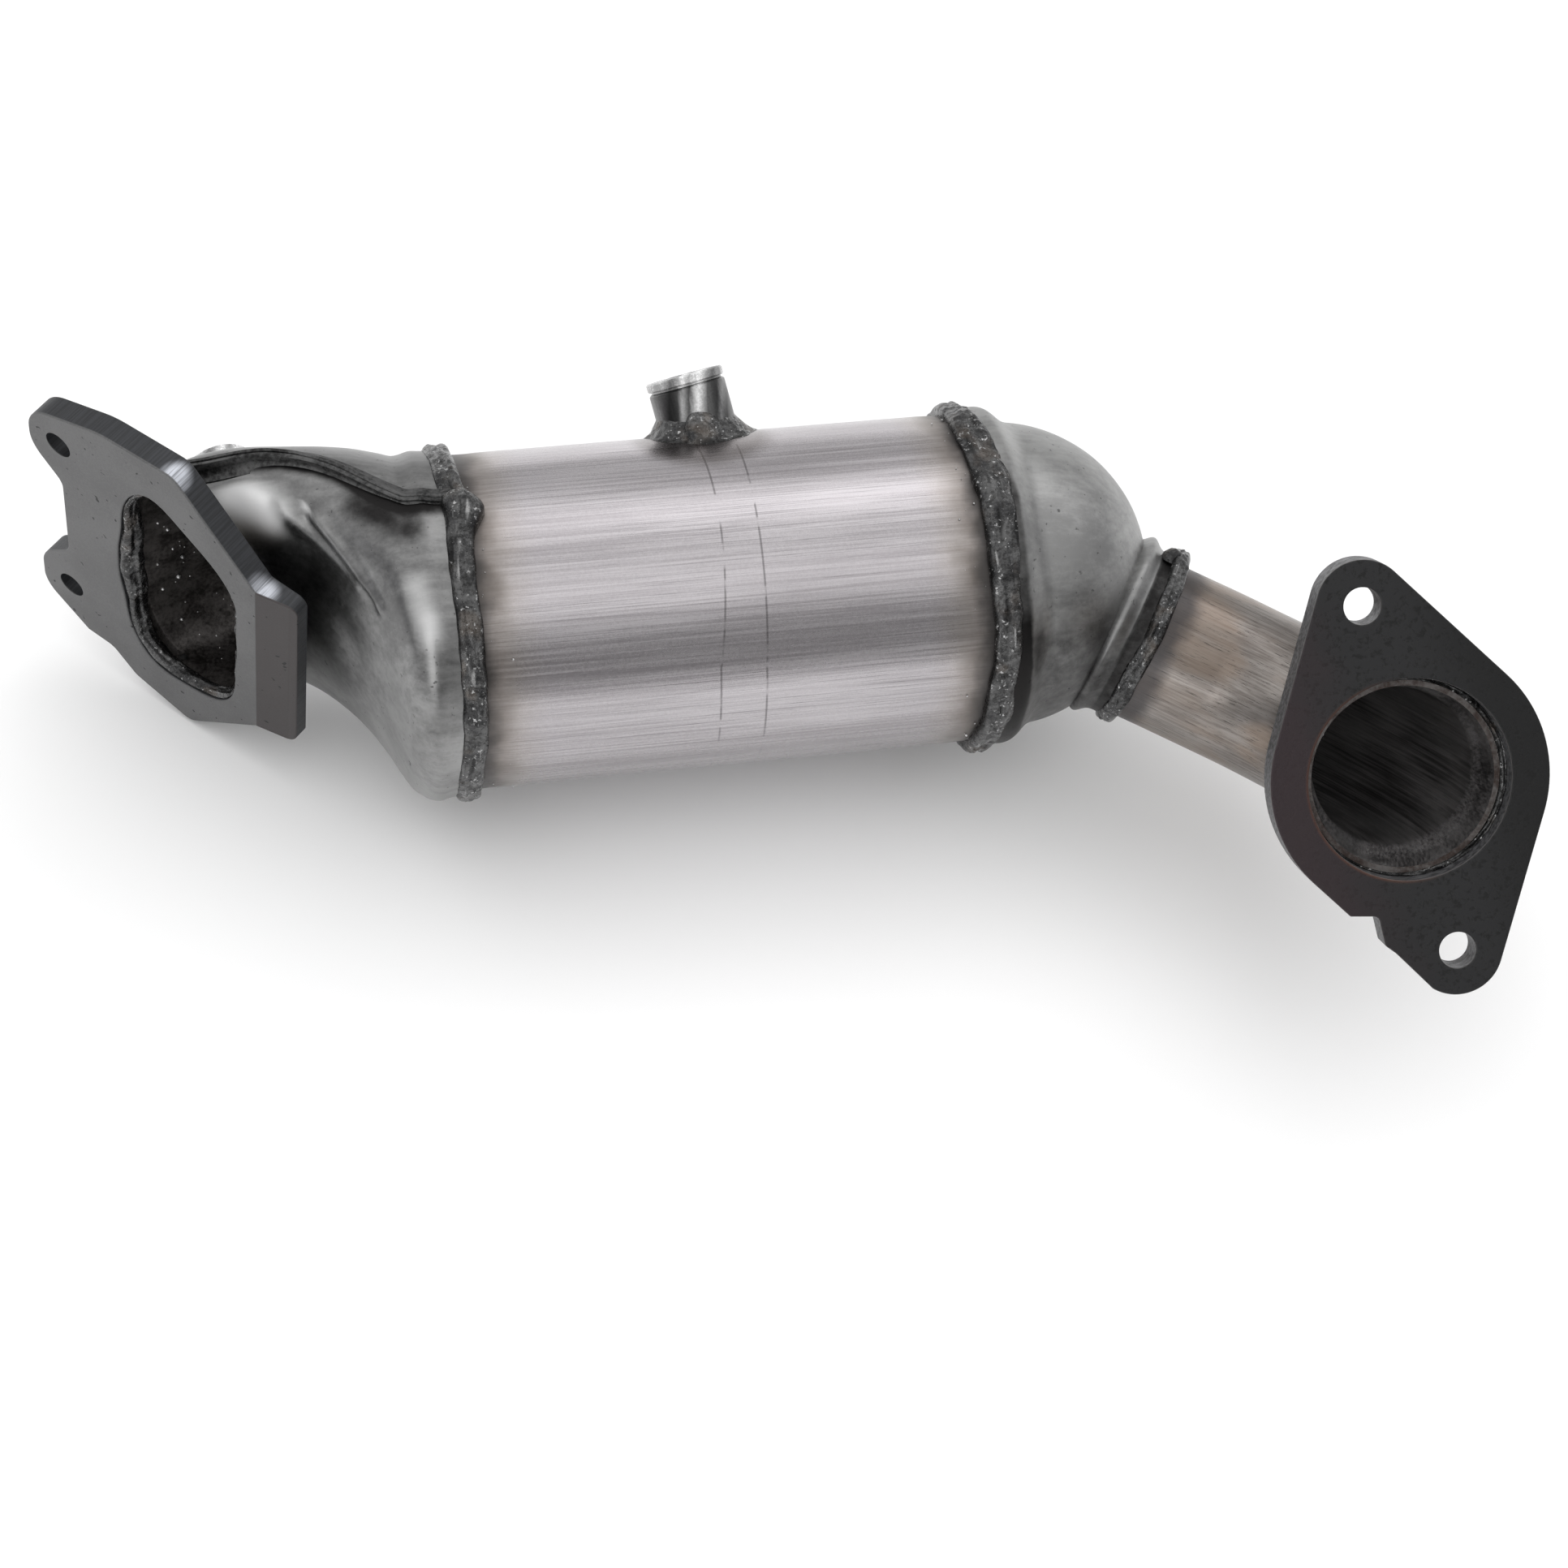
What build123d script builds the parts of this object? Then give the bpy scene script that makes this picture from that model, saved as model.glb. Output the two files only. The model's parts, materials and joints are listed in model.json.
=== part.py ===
"""Catalytic converter with a 45 degree two-stud inlet flange, a round body and a bent outlet pipe.

Frame, in millimetres: the origin is midway between the two inlet studs on the inlet sealing face.
+X runs along the body from inlet to outlet and +Z is up, within 3 degrees of the stud line.
"""

import os
from math import cos, radians, sin

from build123d import *

os.makedirs("parts", exist_ok=True)

# Body
body_d = 101.6
body_wall = 1.5
body_start_x = 111.1
body_len = 162.3
body_axis_y = -47.6
body_axis_z = -5.8
body_overlap = 9.0
outlet_overlap = 4.5
slip = 0.15
cone_wall = 1.5

# Bricks and mats
brick_d = 91.0
brick_len = 58.0
brick_first = 11.0
brick_gap = 24.0
channel = 8.4
channel_pitch = 11.4
channel_reach = 3
mat_inset = 4.0

# Inlet flange, seen in the plane of the sealing face
inlet_tilt = 45.6
inlet_clock = 2.9
stud_pitch = 74.2
stud_hole_d = 10.0
inlet_plate_t = 8.0
lip_root = 73.6
lip_len = 13.2
lip_end_t = 5.0
lip_low = -45.5
lip_high = 29.5

# Inlet port: angles and radii about its centre
port_centre = (-4.0, 44.0)
port_angles = (90, 112, 135, 157, 180, 191, 203, 225, 248, 270, 293, 315, 337, 349, 360, 382, 405, 428)
port_radii = (22, 23.9, 30.2, 43, 46.6, 47.6, 43.3, 30.6, 25.2, 23.6, 25, 30.4, 43, 46.2, 41.5, 34.8, 29.8, 23.9)
port_recess = 3.5
port_clearance = 0.2
port_bead_out = 1.4

# Inlet cone sections: distance from the body weld, shift in Y, tilt, half height, half depth
cone_mid = (-50.0, 26.6, 17.2, 48.6, 24.6)
cone_late = (-22.5, 9.6, 2.7, 51.2, 44.6)
cone_collar_x = -12.0
collar_step = 0.25
seam_lip_h = 4.4
seam_lip_t = 1.5
# Parting line of the two halves in plan, from the flange to the body weld
seam_line = ((-110, 31), (-65, 31), (-45, 30), (-29, 22), (-15, 11.5), (-2, 8.5), (12, 8))

# Sensor bosses and plugs
boss_d = 23.6
boss_h = 15.6
boss_bore_d = 18.0
plug_head_d = 23.8
plug_head_t = 3.0
plug_shank_d = 17.7
plug_shank_len = 12.0
boss_bead_d = 34.0
boss_bead_h = 5.5
mid_boss_x = 81.2
mid_boss_angle = 38.0
mid_boss_lean = 11.0
up_boss_at = (-59.5, 50.0, -3.0)
up_boss_dir = (-0.28, 0.96, 0.0)

# Outlet cone: a round dome, then a collar in the plane of the turn
outlet_roll = 14.7
outlet_turn = 32.4
dome_centre_x = 8.0
dome_r = 47.2
dome_start_x = 14.0
dome_mid = (9.4, 49.5)
collar_at = (42.2, 19.3)
collar_len = 9.9
collar_wall = 1.6
ring_bead_r = 2.5
ring_bead_at = 1.5

# Outlet pipe and flange
pipe_d = 50.8
pipe_wall = 1.6
pipe_insert = 7.0
pipe_lead_in = 23.9
pipe_bend_r = 56.1
pipe_bend_angle = 82.6
pipe_roll = 62.9
pipe_lead_out = 3.0
flare_len = 8.0
flare_d = 59.0
flare_end_len = 11.0
outlet_bore_d = 59.4
outlet_plate_t = 10.0
outlet_recess = 5.0
outlet_disc_r = 40.8
outlet_ear_r = 13.4
outlet_bolt_pitch = 106.0
outlet_clock = 21.9
outlet_hole_d = 10.8
notch_outline = ((-33.4, 29), (-34.7, 22.1), (-38.2, 22.4), (-43, 20.4), (-61, 10.4), (-61, 14))

# Weld beads: height over the lower piece, reach back over the collar, reach forward
bead_h = 2.6
bead_back = 2.2
bead_front = 4.6

body_r = body_d / 2
collar_r = body_r + slip + cone_wall
body_axis = Vector(body_start_x, body_axis_y, body_axis_z)


def body_plane(along):
    """Plane across the body at a distance past the first weld; x is up, y the near side."""
    return Plane(origin=body_axis + Vector(along, 0, 0), x_dir=(0, 0, 1), z_dir=(1, 0, 0))


tilt = radians(inlet_tilt)
clock = radians(inlet_clock)
across = Vector(sin(tilt), -cos(tilt), 0)
# Plane of the sealing face: z into the plate, x along the studs, y from the studs to the lip
inlet_plane = Plane(
    origin=(0, 0, 0),
    x_dir=Vector(0, 0, 1) * cos(clock) + across * sin(clock),
    z_dir=(cos(tilt), sin(tilt), 0),
)


def smooth_face(plane, centre, radii):
    """Closed smooth outline through one radius for each of the port's angles."""
    points = []
    for a, r in zip(port_angles, radii):
        points.append((centre[0] + r * cos(radians(a)), centre[1] + r * sin(radians(a))))
    with BuildSketch(plane) as outline:
        with BuildLine():
            Spline(points, periodic=True)
        make_face()
    return outline.sketch


def port_face(depth, grow):
    """Outline of the inlet port at a depth below the sealing face, grown outward."""
    return smooth_face(inlet_plane.offset(depth), port_centre, [r + grow for r in port_radii])


def cone_face(section, share, grow):
    """Outline of the inlet cone: an oval mixed with a share of the port's own shape."""
    along, side, lean, half_z, half_y = section
    radii = []
    for a, r in zip(port_angles, port_radii):
        oval = ((cos(radians(a)) / half_z) ** 2 + (sin(radians(a)) / half_y) ** 2) ** -0.5
        reach = min(r * half_y / port_radii[0], half_z)
        radii.append(share * reach + (1 - share) * oval + grow)
    plane = Plane(
        origin=body_axis + Vector(along, side, 0),
        x_dir=(0, 0, 1),
        z_dir=(cos(radians(lean)), sin(radians(lean)), 0),
    )
    return smooth_face(plane, (0, 0), radii)


def cone_form(grow, end_grow):
    """Solid form of the inlet cone from the back of the plate to its collar."""
    collar = (cone_collar_x, 0, 0, collar_r - collar_step, collar_r - collar_step)
    with BuildPart() as form:
        loft(
            sections=[
                port_face(inlet_plate_t, grow - port_clearance),
                cone_face(cone_mid, 0.3, grow),
                cone_face(cone_late, 0, grow),
                cone_face(collar, 0, end_grow),
            ]
        )
    return form.part


def corners_near(shape, points):
    """The corners of a sketch that lie nearest to the given points."""
    return [shape.vertices().sort_by_distance((x, y, 0))[0] for x, y in points]


# Inlet flange: plate with two ears, port, stud holes and a tapered lip
with BuildPart() as inlet_flange:
    with BuildSketch(inlet_plane) as plate:
        with BuildLine():
            Polyline(
                (18, 0),
                (29, -11.5),
                (45.5, -11.5),
                (57, 16),
                (60.2, 43.8),
                (lip_high, lip_root),
                (lip_high, lip_root + lip_len),
                (lip_low, lip_root + lip_len),
                (lip_low, lip_root),
                (-70.6, 46.6),
                (-65.3, 24.5),
                (-57.4, 15.5),
                (-57.4, 5.5),
                (-45.5, -11.5),
                (-29, -11.5),
                (-18, 0),
                close=True,
            )
        make_face()
        fillet(corners_near(plate, [(45.5, -11.5), (-45.5, -11.5)]), 8)
        fillet(corners_near(plate, [(29, -11.5), (-29, -11.5), (18, 0), (-18, 0)]), 6)
        fillet(corners_near(plate, [(60.2, 43.8), (-70.6, 46.6), (-57.4, 15.5), (-65.3, 24.5)]), 5)
        fillet(corners_near(plate, [(lip_high, lip_root + lip_len), (lip_low, lip_root + lip_len)]), 3.5)
        with Locations((stud_pitch / 2, 0), (-stud_pitch / 2, 0)):
            Circle(stud_hole_d / 2, mode=Mode.SUBTRACT)
    extrude(amount=inlet_plate_t)
    extrude(port_face(-1, 0), amount=inlet_plate_t + 2, mode=Mode.SUBTRACT)
    with BuildSketch(
        Plane(
            origin=inlet_plane.from_local_coords(Vector(0, lip_root, 0)),
            x_dir=inlet_plane.y_dir,
            z_dir=inlet_plane.x_dir,
        )
    ):
        with BuildLine():
            Polyline(
                (0, 0),
                (lip_len * 1.1, 0),
                (lip_len * 1.1, (inlet_plate_t - lip_end_t) * 1.1),
                close=True,
            )
        make_face()
    extrude(amount=80, both=True, mode=Mode.SUBTRACT)
inlet_flange.part.label = "inlet_flange"
export_step(inlet_flange.part, "parts/inlet_flange.step")

# Bead inside the port: sits on the end of the shells, thickest along the long side
with BuildPart() as inlet_port_weld:
    extrude(port_face(port_recess - port_bead_out, 0), amount=port_bead_out)
    bead_inner = smooth_face(
        inlet_plane.offset(port_recess - port_bead_out - 1),
        (port_centre[0], port_centre[1] + 0.8),
        [r - cone_wall - 1.6 for r in port_radii],
    )
    extrude(bead_inner, amount=port_bead_out + 2, mode=Mode.SUBTRACT)
inlet_port_weld.part.label = "inlet_port_weld"
export_step(inlet_port_weld.part, "parts/inlet_port_weld.step")

# Inlet cone: outer form, gas passage and the raised band from which the seam lips are cut
with BuildPart() as cone_outer:
    add(cone_form(0, 0))
    extrude(port_face(port_recess, -port_clearance), amount=inlet_plate_t - port_recess)
    with BuildSketch(body_plane(cone_collar_x)):
        Circle(collar_r)
    extrude(amount=-cone_collar_x)

with BuildPart() as cone_void:
    add(cone_form(-cone_wall, -cone_wall))
    extrude(port_face(0, -port_clearance - cone_wall), amount=inlet_plate_t)
    with BuildSketch(body_plane(cone_collar_x)):
        Circle(collar_r - cone_wall)
    extrude(amount=-cone_collar_x + 1)


def seam_strip(near, far):
    """Upright sheet between two copies of the parting line, moved in Y."""
    front = [(x, y + near) for x, y in seam_line]
    back = [(x, y + far) for x, y in seam_line]
    with BuildPart() as sheet:
        with BuildSketch(Plane(origin=body_axis, x_dir=(1, 0, 0), z_dir=(0, 0, 1))):
            with BuildLine():
                Spline(front)
                Line(front[-1], back[-1])
                Spline(back)
                Line(front[0], back[0])
            make_face()
        extrude(amount=80, both=True)
    return sheet.part


# Two stamped halves: a wall with a ridge of paired lips, parted along the seam
with BuildPart() as cone_shells:
    add(cone_form(seam_lip_h, cone_wall))
    add(seam_strip(-seam_lip_t, seam_lip_t), mode=Mode.INTERSECT)
    add(cone_form(-cone_wall / 2, -cone_wall / 2), mode=Mode.SUBTRACT)
    add(cone_outer.part - cone_void.part)
# Sensor bosses stand on these planes
up_boss_plane = Plane(origin=body_axis + Vector(*up_boss_at), z_dir=up_boss_dir)
mid_normal = Vector(0, cos(radians(mid_boss_angle)), sin(radians(mid_boss_angle)))
mid_lean = radians(mid_boss_lean)
mid_boss_plane = Plane(
    origin=body_axis + Vector(mid_boss_x, 0, 0) + mid_normal * body_r,
    z_dir=mid_normal * cos(mid_lean) - Vector(sin(mid_lean), 0, 0),
)

front_side = seam_strip(-120, 0)
with BuildPart() as inlet_front_shell:
    add(cone_shells.part)
    add(front_side, mode=Mode.INTERSECT)
inlet_front_shell.part.label = "inlet_front_shell"
export_step(inlet_front_shell.part, "parts/inlet_front_shell.step")

with BuildPart() as inlet_rear_shell:
    add(cone_shells.part)
    add(front_side, mode=Mode.SUBTRACT)
    with BuildSketch(up_boss_plane.offset(-10)):
        Circle(boss_bore_d / 2)
    extrude(amount=20, mode=Mode.SUBTRACT)
inlet_rear_shell.part.label = "inlet_rear_shell"
export_step(inlet_rear_shell.part, "parts/inlet_rear_shell.step")


def sensor_boss(plane, seat, sink):
    """Bored boss standing on a wall; seat is the solid form of that wall."""
    with BuildPart() as boss:
        with BuildSketch(plane.offset(-sink)):
            Circle(boss_d / 2)
        extrude(amount=sink + boss_h)
        chamfer(boss.edges().sort_by(Axis(plane.origin, plane.z_dir))[-1], 0.6)
        add(seat, mode=Mode.SUBTRACT)
        with BuildSketch(plane.offset(-sink)):
            Circle(boss_bore_d / 2)
        extrude(amount=sink + boss_h, mode=Mode.SUBTRACT)
    return boss.part


def boss_bead(plane, seat, sink):
    """Sloping weld bead round the foot of a boss."""
    with BuildPart() as bead:
        with BuildSketch(plane.offset(-sink)):
            Circle(boss_bead_d / 2)
        extrude(amount=sink)
        with BuildSketch(plane):
            Circle(boss_bead_d / 2)
        extrude(amount=boss_bead_h, taper=45)
        add(seat, mode=Mode.SUBTRACT)
        with BuildSketch(plane.offset(-sink)):
            Circle(boss_d / 2)
        extrude(amount=sink + boss_bead_h, mode=Mode.SUBTRACT)
    return bead.part


def sensor_plug(plane):
    """Plug with a round head and a plain shank in the boss."""
    with BuildPart() as plug:
        with BuildSketch(plane.offset(boss_h)):
            Circle(plug_head_d / 2)
        extrude(amount=plug_head_t)
        chamfer(plug.edges().sort_by(Axis(plane.origin, plane.z_dir))[-1], 0.5)
        with BuildSketch(plane.offset(boss_h - plug_shank_len)):
            Circle(plug_shank_d / 2)
        extrude(amount=plug_shank_len)
    return plug.part


with BuildPart() as upstream_boss:
    add(sensor_boss(up_boss_plane, cone_outer.part, 8))
upstream_boss.part.label = "upstream_boss"
export_step(upstream_boss.part, "parts/upstream_boss.step")

with BuildPart() as upstream_boss_weld:
    add(boss_bead(up_boss_plane, cone_outer.part, 8))
upstream_boss_weld.part.label = "upstream_boss_weld"
export_step(upstream_boss_weld.part, "parts/upstream_boss_weld.step")

with BuildPart() as upstream_plug:
    add(sensor_plug(up_boss_plane))
upstream_plug.part.label = "upstream_plug"
export_step(upstream_plug.part, "parts/upstream_plug.step")

# Body tube with the opening under the mid-bed boss
with BuildPart() as body_form:
    with BuildSketch(body_plane(-body_overlap)):
        Circle(body_r)
    extrude(amount=body_len + body_overlap + outlet_overlap)

with BuildPart() as body_shell:
    add(body_form.part)
    with BuildSketch(body_plane(-body_overlap)):
        Circle(body_r - body_wall)
    extrude(amount=body_len + body_overlap + outlet_overlap, mode=Mode.SUBTRACT)
    with BuildSketch(mid_boss_plane.offset(-12)):
        Circle(boss_bore_d / 2)
    extrude(amount=24, mode=Mode.SUBTRACT)
body_shell.part.label = "body_shell"
export_step(body_shell.part, "parts/body_shell.step")

with BuildPart() as midbed_boss:
    add(sensor_boss(mid_boss_plane, body_form.part, 8))
midbed_boss.part.label = "midbed_boss"
export_step(midbed_boss.part, "parts/midbed_boss.step")

with BuildPart() as midbed_boss_weld:
    add(boss_bead(mid_boss_plane, body_form.part, 8))
midbed_boss_weld.part.label = "midbed_boss_weld"
export_step(midbed_boss_weld.part, "parts/midbed_boss_weld.step")

with BuildPart() as midbed_plug:
    add(sensor_plug(mid_boss_plane))
midbed_plug.part.label = "midbed_plug"
export_step(midbed_plug.part, "parts/midbed_plug.step")


def brick(start):
    """Ceramic honeycomb with coarse square channels."""
    cells = []
    for row in range(-channel_reach, channel_reach + 1):
        for column in range(-channel_reach, channel_reach + 1):
            corner = ((abs(row) + 0.5) ** 2 + (abs(column) + 0.5) ** 2) ** 0.5 * channel_pitch
            if corner < brick_d / 2 - 1:
                cells.append((row * channel_pitch, column * channel_pitch))
    with BuildPart() as core:
        with BuildSketch(body_plane(start)):
            Circle(brick_d / 2)
            with Locations(*cells):
                Rectangle(channel, channel, mode=Mode.SUBTRACT)
        extrude(amount=brick_len)
    return core.part


def mat(start):
    """Swelling mat that fills the gap between a brick and the body."""
    with BuildPart() as wrap:
        with BuildSketch(body_plane(start + mat_inset)):
            Circle(body_r - body_wall)
            Circle(brick_d / 2, mode=Mode.SUBTRACT)
        extrude(amount=brick_len - 2 * mat_inset)
    return wrap.part


brick_second = brick_first + brick_len + brick_gap
with BuildPart() as front_brick:
    add(brick(brick_first))
front_brick.part.label = "front_brick"
export_step(front_brick.part, "parts/front_brick.step")

with BuildPart() as rear_brick:
    add(brick(brick_second))
rear_brick.part.label = "rear_brick"
export_step(rear_brick.part, "parts/rear_brick.step")

with BuildPart() as front_mat:
    add(mat(brick_first))
front_mat.part.label = "front_mat"
export_step(front_mat.part, "parts/front_mat.step")

with BuildPart() as rear_mat:
    add(mat(brick_second))
rear_mat.part.label = "rear_mat"
export_step(rear_mat.part, "parts/rear_mat.step")


def ring_bead(plane, low_r, step_r):
    """Weld bead over the step from a collar down to the tube that runs on along z."""
    with BuildPart() as bead:
        with BuildSketch(Plane(origin=plane.origin, x_dir=plane.x_dir, z_dir=plane.y_dir * -1)):
            with BuildLine():
                Line((low_r, bead_front), (low_r, 0))
                Line((low_r, 0), (step_r, 0))
                Line((step_r, 0), (step_r, -bead_back))
                ThreePointArc(
                    (step_r, -bead_back),
                    (low_r + bead_h, bead_front * 0.15),
                    (low_r, bead_front),
                )
            make_face()
        revolve(axis=Axis(plane.origin, plane.z_dir))
    return bead.part


with BuildPart() as inlet_body_weld:
    add(ring_bead(body_plane(0), body_r, collar_r))
inlet_body_weld.part.label = "inlet_body_weld"
export_step(inlet_body_weld.part, "parts/inlet_body_weld.step")

with BuildPart() as outlet_body_weld:
    body_end = body_plane(body_len)
    add(ring_bead(Plane(body_end.origin, x_dir=(0, 0, 1), z_dir=(-1, 0, 0)), body_r, collar_r))
outlet_body_weld.part.label = "outlet_body_weld"
export_step(outlet_body_weld.part, "parts/outlet_body_weld.step")

# Outlet cone, built in the plane of its turn: x along the body, y the way the outlet turns
roll = radians(outlet_roll)
turn_plane = Plane(
    origin=body_axis + Vector(body_len, 0, 0),
    x_dir=(1, 0, 0),
    z_dir=(0, sin(roll), -cos(roll)),
)


def turn_station(along, shift, lean):
    """Plane across the outlet cone at a point of its turn."""
    return Plane(
        origin=turn_plane.from_local_coords(Vector(along, shift, 0)),
        x_dir=turn_plane.z_dir,
        z_dir=turn_plane.x_dir * cos(radians(lean)) + turn_plane.y_dir * sin(radians(lean)),
    )


def disc(plane, radius):
    """Round sketch on a plane."""
    with BuildSketch(plane) as outline:
        Circle(radius)
    return outline.sketch


pipe_r = pipe_d / 2
outlet_collar_r = pipe_r + slip + collar_wall
collar_plane = turn_station(collar_at[0], collar_at[1], outlet_turn)
pipe_start = collar_plane.offset(collar_len)


def outlet_form(grow, past):
    """Solid form of the outlet cone, run past both of its ends."""
    dome_start_r = ((dome_r + grow) ** 2 - (dome_start_x - dome_centre_x) ** 2) ** 0.5
    lead_x = outlet_overlap + 0.5
    with BuildPart() as form:
        with BuildSketch(turn_plane):
            with BuildLine():
                Polyline((dome_centre_x, 0), (-past, 0), (-past, collar_r + grow), (lead_x, collar_r + grow))
                Spline(
                    (lead_x, collar_r + grow),
                    (dome_mid[0], dome_mid[1] + grow),
                    (dome_start_x, dome_start_r),
                )
                RadiusArc(
                    (dome_start_x, dome_start_r),
                    (dome_centre_x + dome_r + grow, 0),
                    dome_r + grow,
                )
                Line((dome_centre_x + dome_r + grow, 0), (dome_centre_x, 0))
            make_face()
        revolve(axis=Axis(turn_plane.origin, turn_plane.x_dir))
        extrude(disc(collar_plane.offset(-12), outlet_collar_r + grow), amount=12 + collar_len + past)
    return form.part


with BuildPart() as outlet_cone:
    add(outlet_form(0, 0))
    ring_root = outlet_collar_r - collar_wall / 2
    ring_low = ring_bead_at - ring_bead_r
    ring_high = ring_bead_at + ring_bead_r
    with BuildSketch(Plane(origin=collar_plane.origin, x_dir=collar_plane.x_dir, z_dir=collar_plane.y_dir * -1)):
        with BuildLine():
            Polyline(
                (outlet_collar_r, ring_low),
                (ring_root, ring_low),
                (ring_root, ring_high),
                (outlet_collar_r, ring_high),
            )
            ThreePointArc(
                (outlet_collar_r, ring_high),
                (outlet_collar_r + ring_bead_r, ring_bead_at),
                (outlet_collar_r, ring_low),
            )
        make_face()
    revolve(axis=Axis(collar_plane.origin, collar_plane.z_dir))
    add(outlet_form(-cone_wall, 1), mode=Mode.SUBTRACT)
outlet_cone.part.label = "outlet_cone"
export_step(outlet_cone.part, "parts/outlet_cone.step")

with BuildPart() as outlet_pipe_weld:
    add(ring_bead(pipe_start, pipe_r, outlet_collar_r))
outlet_pipe_weld.part.label = "outlet_pipe_weld"
export_step(outlet_pipe_weld.part, "parts/outlet_pipe_weld.step")

# Outlet pipe: lead-in, bend and lead-out in one plane, then a flare and a sized end
bend_side = collar_plane.x_dir * -sin(radians(pipe_roll)) - collar_plane.y_dir * cos(radians(pipe_roll))
path_plane = Plane(
    origin=pipe_start.origin,
    x_dir=pipe_start.z_dir,
    z_dir=pipe_start.z_dir.cross(bend_side),
)
with BuildLine(path_plane) as pipe_path:
    Line((-pipe_insert, 0), (pipe_lead_in, 0))
    JernArc((pipe_lead_in, 0), (1, 0), pipe_bend_r, pipe_bend_angle)
bend_end = pipe_path.line @ 1
outward = pipe_path.line % 1
flare_r = flare_d / 2
bore_r = outlet_bore_d / 2
end_len = pipe_lead_out + flare_len + flare_end_len
end_plane = Plane(origin=bend_end, x_dir=path_plane.z_dir, z_dir=outward)

with BuildPart() as outlet_pipe:
    with BuildSketch(Plane(origin=pipe_path.line @ 0, z_dir=pipe_path.line % 0)):
        Circle(pipe_r)
        Circle(pipe_r - pipe_wall, mode=Mode.SUBTRACT)
    sweep(path=pipe_path.line)
    with BuildSketch(Plane(origin=bend_end, x_dir=end_plane.x_dir, z_dir=end_plane.y_dir * -1)):
        with BuildLine():
            Polyline(
                (pipe_r, 0),
                (pipe_r, pipe_lead_out),
                (flare_r, pipe_lead_out + flare_len),
                (flare_r, end_len),
                (flare_r - pipe_wall, end_len),
                (flare_r - pipe_wall, pipe_lead_out + flare_len),
                (pipe_r - pipe_wall, pipe_lead_out),
                (pipe_r - pipe_wall, 0),
                close=True,
            )
        make_face()
    revolve(axis=Axis(bend_end, outward))
outlet_pipe.part.label = "outlet_pipe"
export_step(outlet_pipe.part, "parts/outlet_pipe.step")

# Outlet flange: face plane with x along the bolt line, z out of the converter
level = (Vector(0, 0, 1) - outward * outward.Z).normalized()
outlet_plane = Plane(
    origin=bend_end + outward * (end_len + outlet_recess),
    x_dir=level * cos(radians(outlet_clock)) + outward.cross(level) * sin(radians(outlet_clock)),
    z_dir=outward,
)

with BuildPart() as outlet_flange:
    with BuildSketch(outlet_plane) as diamond:
        with BuildLine():
            CenterArc((0, 0), outlet_disc_r, 0, 360)
            CenterArc((outlet_bolt_pitch / 2, 0), outlet_ear_r, 0, 360)
            CenterArc((-outlet_bolt_pitch / 2, 0), outlet_ear_r, 0, 360)
        make_hull()
        with BuildLine():
            Polyline(*notch_outline, close=True)
        make_face(mode=Mode.SUBTRACT)
        with Locations((outlet_bolt_pitch / 2, 0), (-outlet_bolt_pitch / 2, 0)):
            Circle(outlet_hole_d / 2, mode=Mode.SUBTRACT)
        Circle(bore_r, mode=Mode.SUBTRACT)
    extrude(amount=-outlet_plate_t)
outlet_flange.part.label = "outlet_flange"
export_step(outlet_flange.part, "parts/outlet_flange.step")

# Bead on the end of the pipe, inside the bore of the plate
with BuildPart() as outlet_flange_weld:
    with BuildSketch(Plane(origin=outlet_plane.origin, x_dir=outlet_plane.x_dir, z_dir=outlet_plane.y_dir * -1)):
        with BuildLine():
            Line((flare_r - pipe_wall, -outlet_recess), (bore_r, -outlet_recess))
            Line((bore_r, -outlet_recess), (bore_r, -outlet_recess + 2.4))
            ThreePointArc(
                (bore_r, -outlet_recess + 2.4),
                (bore_r - 1.2, -outlet_recess + 1.6),
                (flare_r - pipe_wall, -outlet_recess),
            )
        make_face()
    revolve(axis=Axis(outlet_plane.origin, outlet_plane.z_dir))
outlet_flange_weld.part.label = "outlet_flange_weld"
export_step(outlet_flange_weld.part, "parts/outlet_flange_weld.step")
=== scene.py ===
import json
from math import asin, atan2, cos, degrees, exp, pi, radians, sin, sqrt

import bmesh
import bpy
import numpy as np
from bpy.props import FloatProperty, FloatVectorProperty, IntProperty, PointerProperty
from bpy.types import Operator, Panel, PropertyGroup
from mathutils import Matrix, Vector, noise
from mathutils.bvhtree import BVHTree

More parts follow.
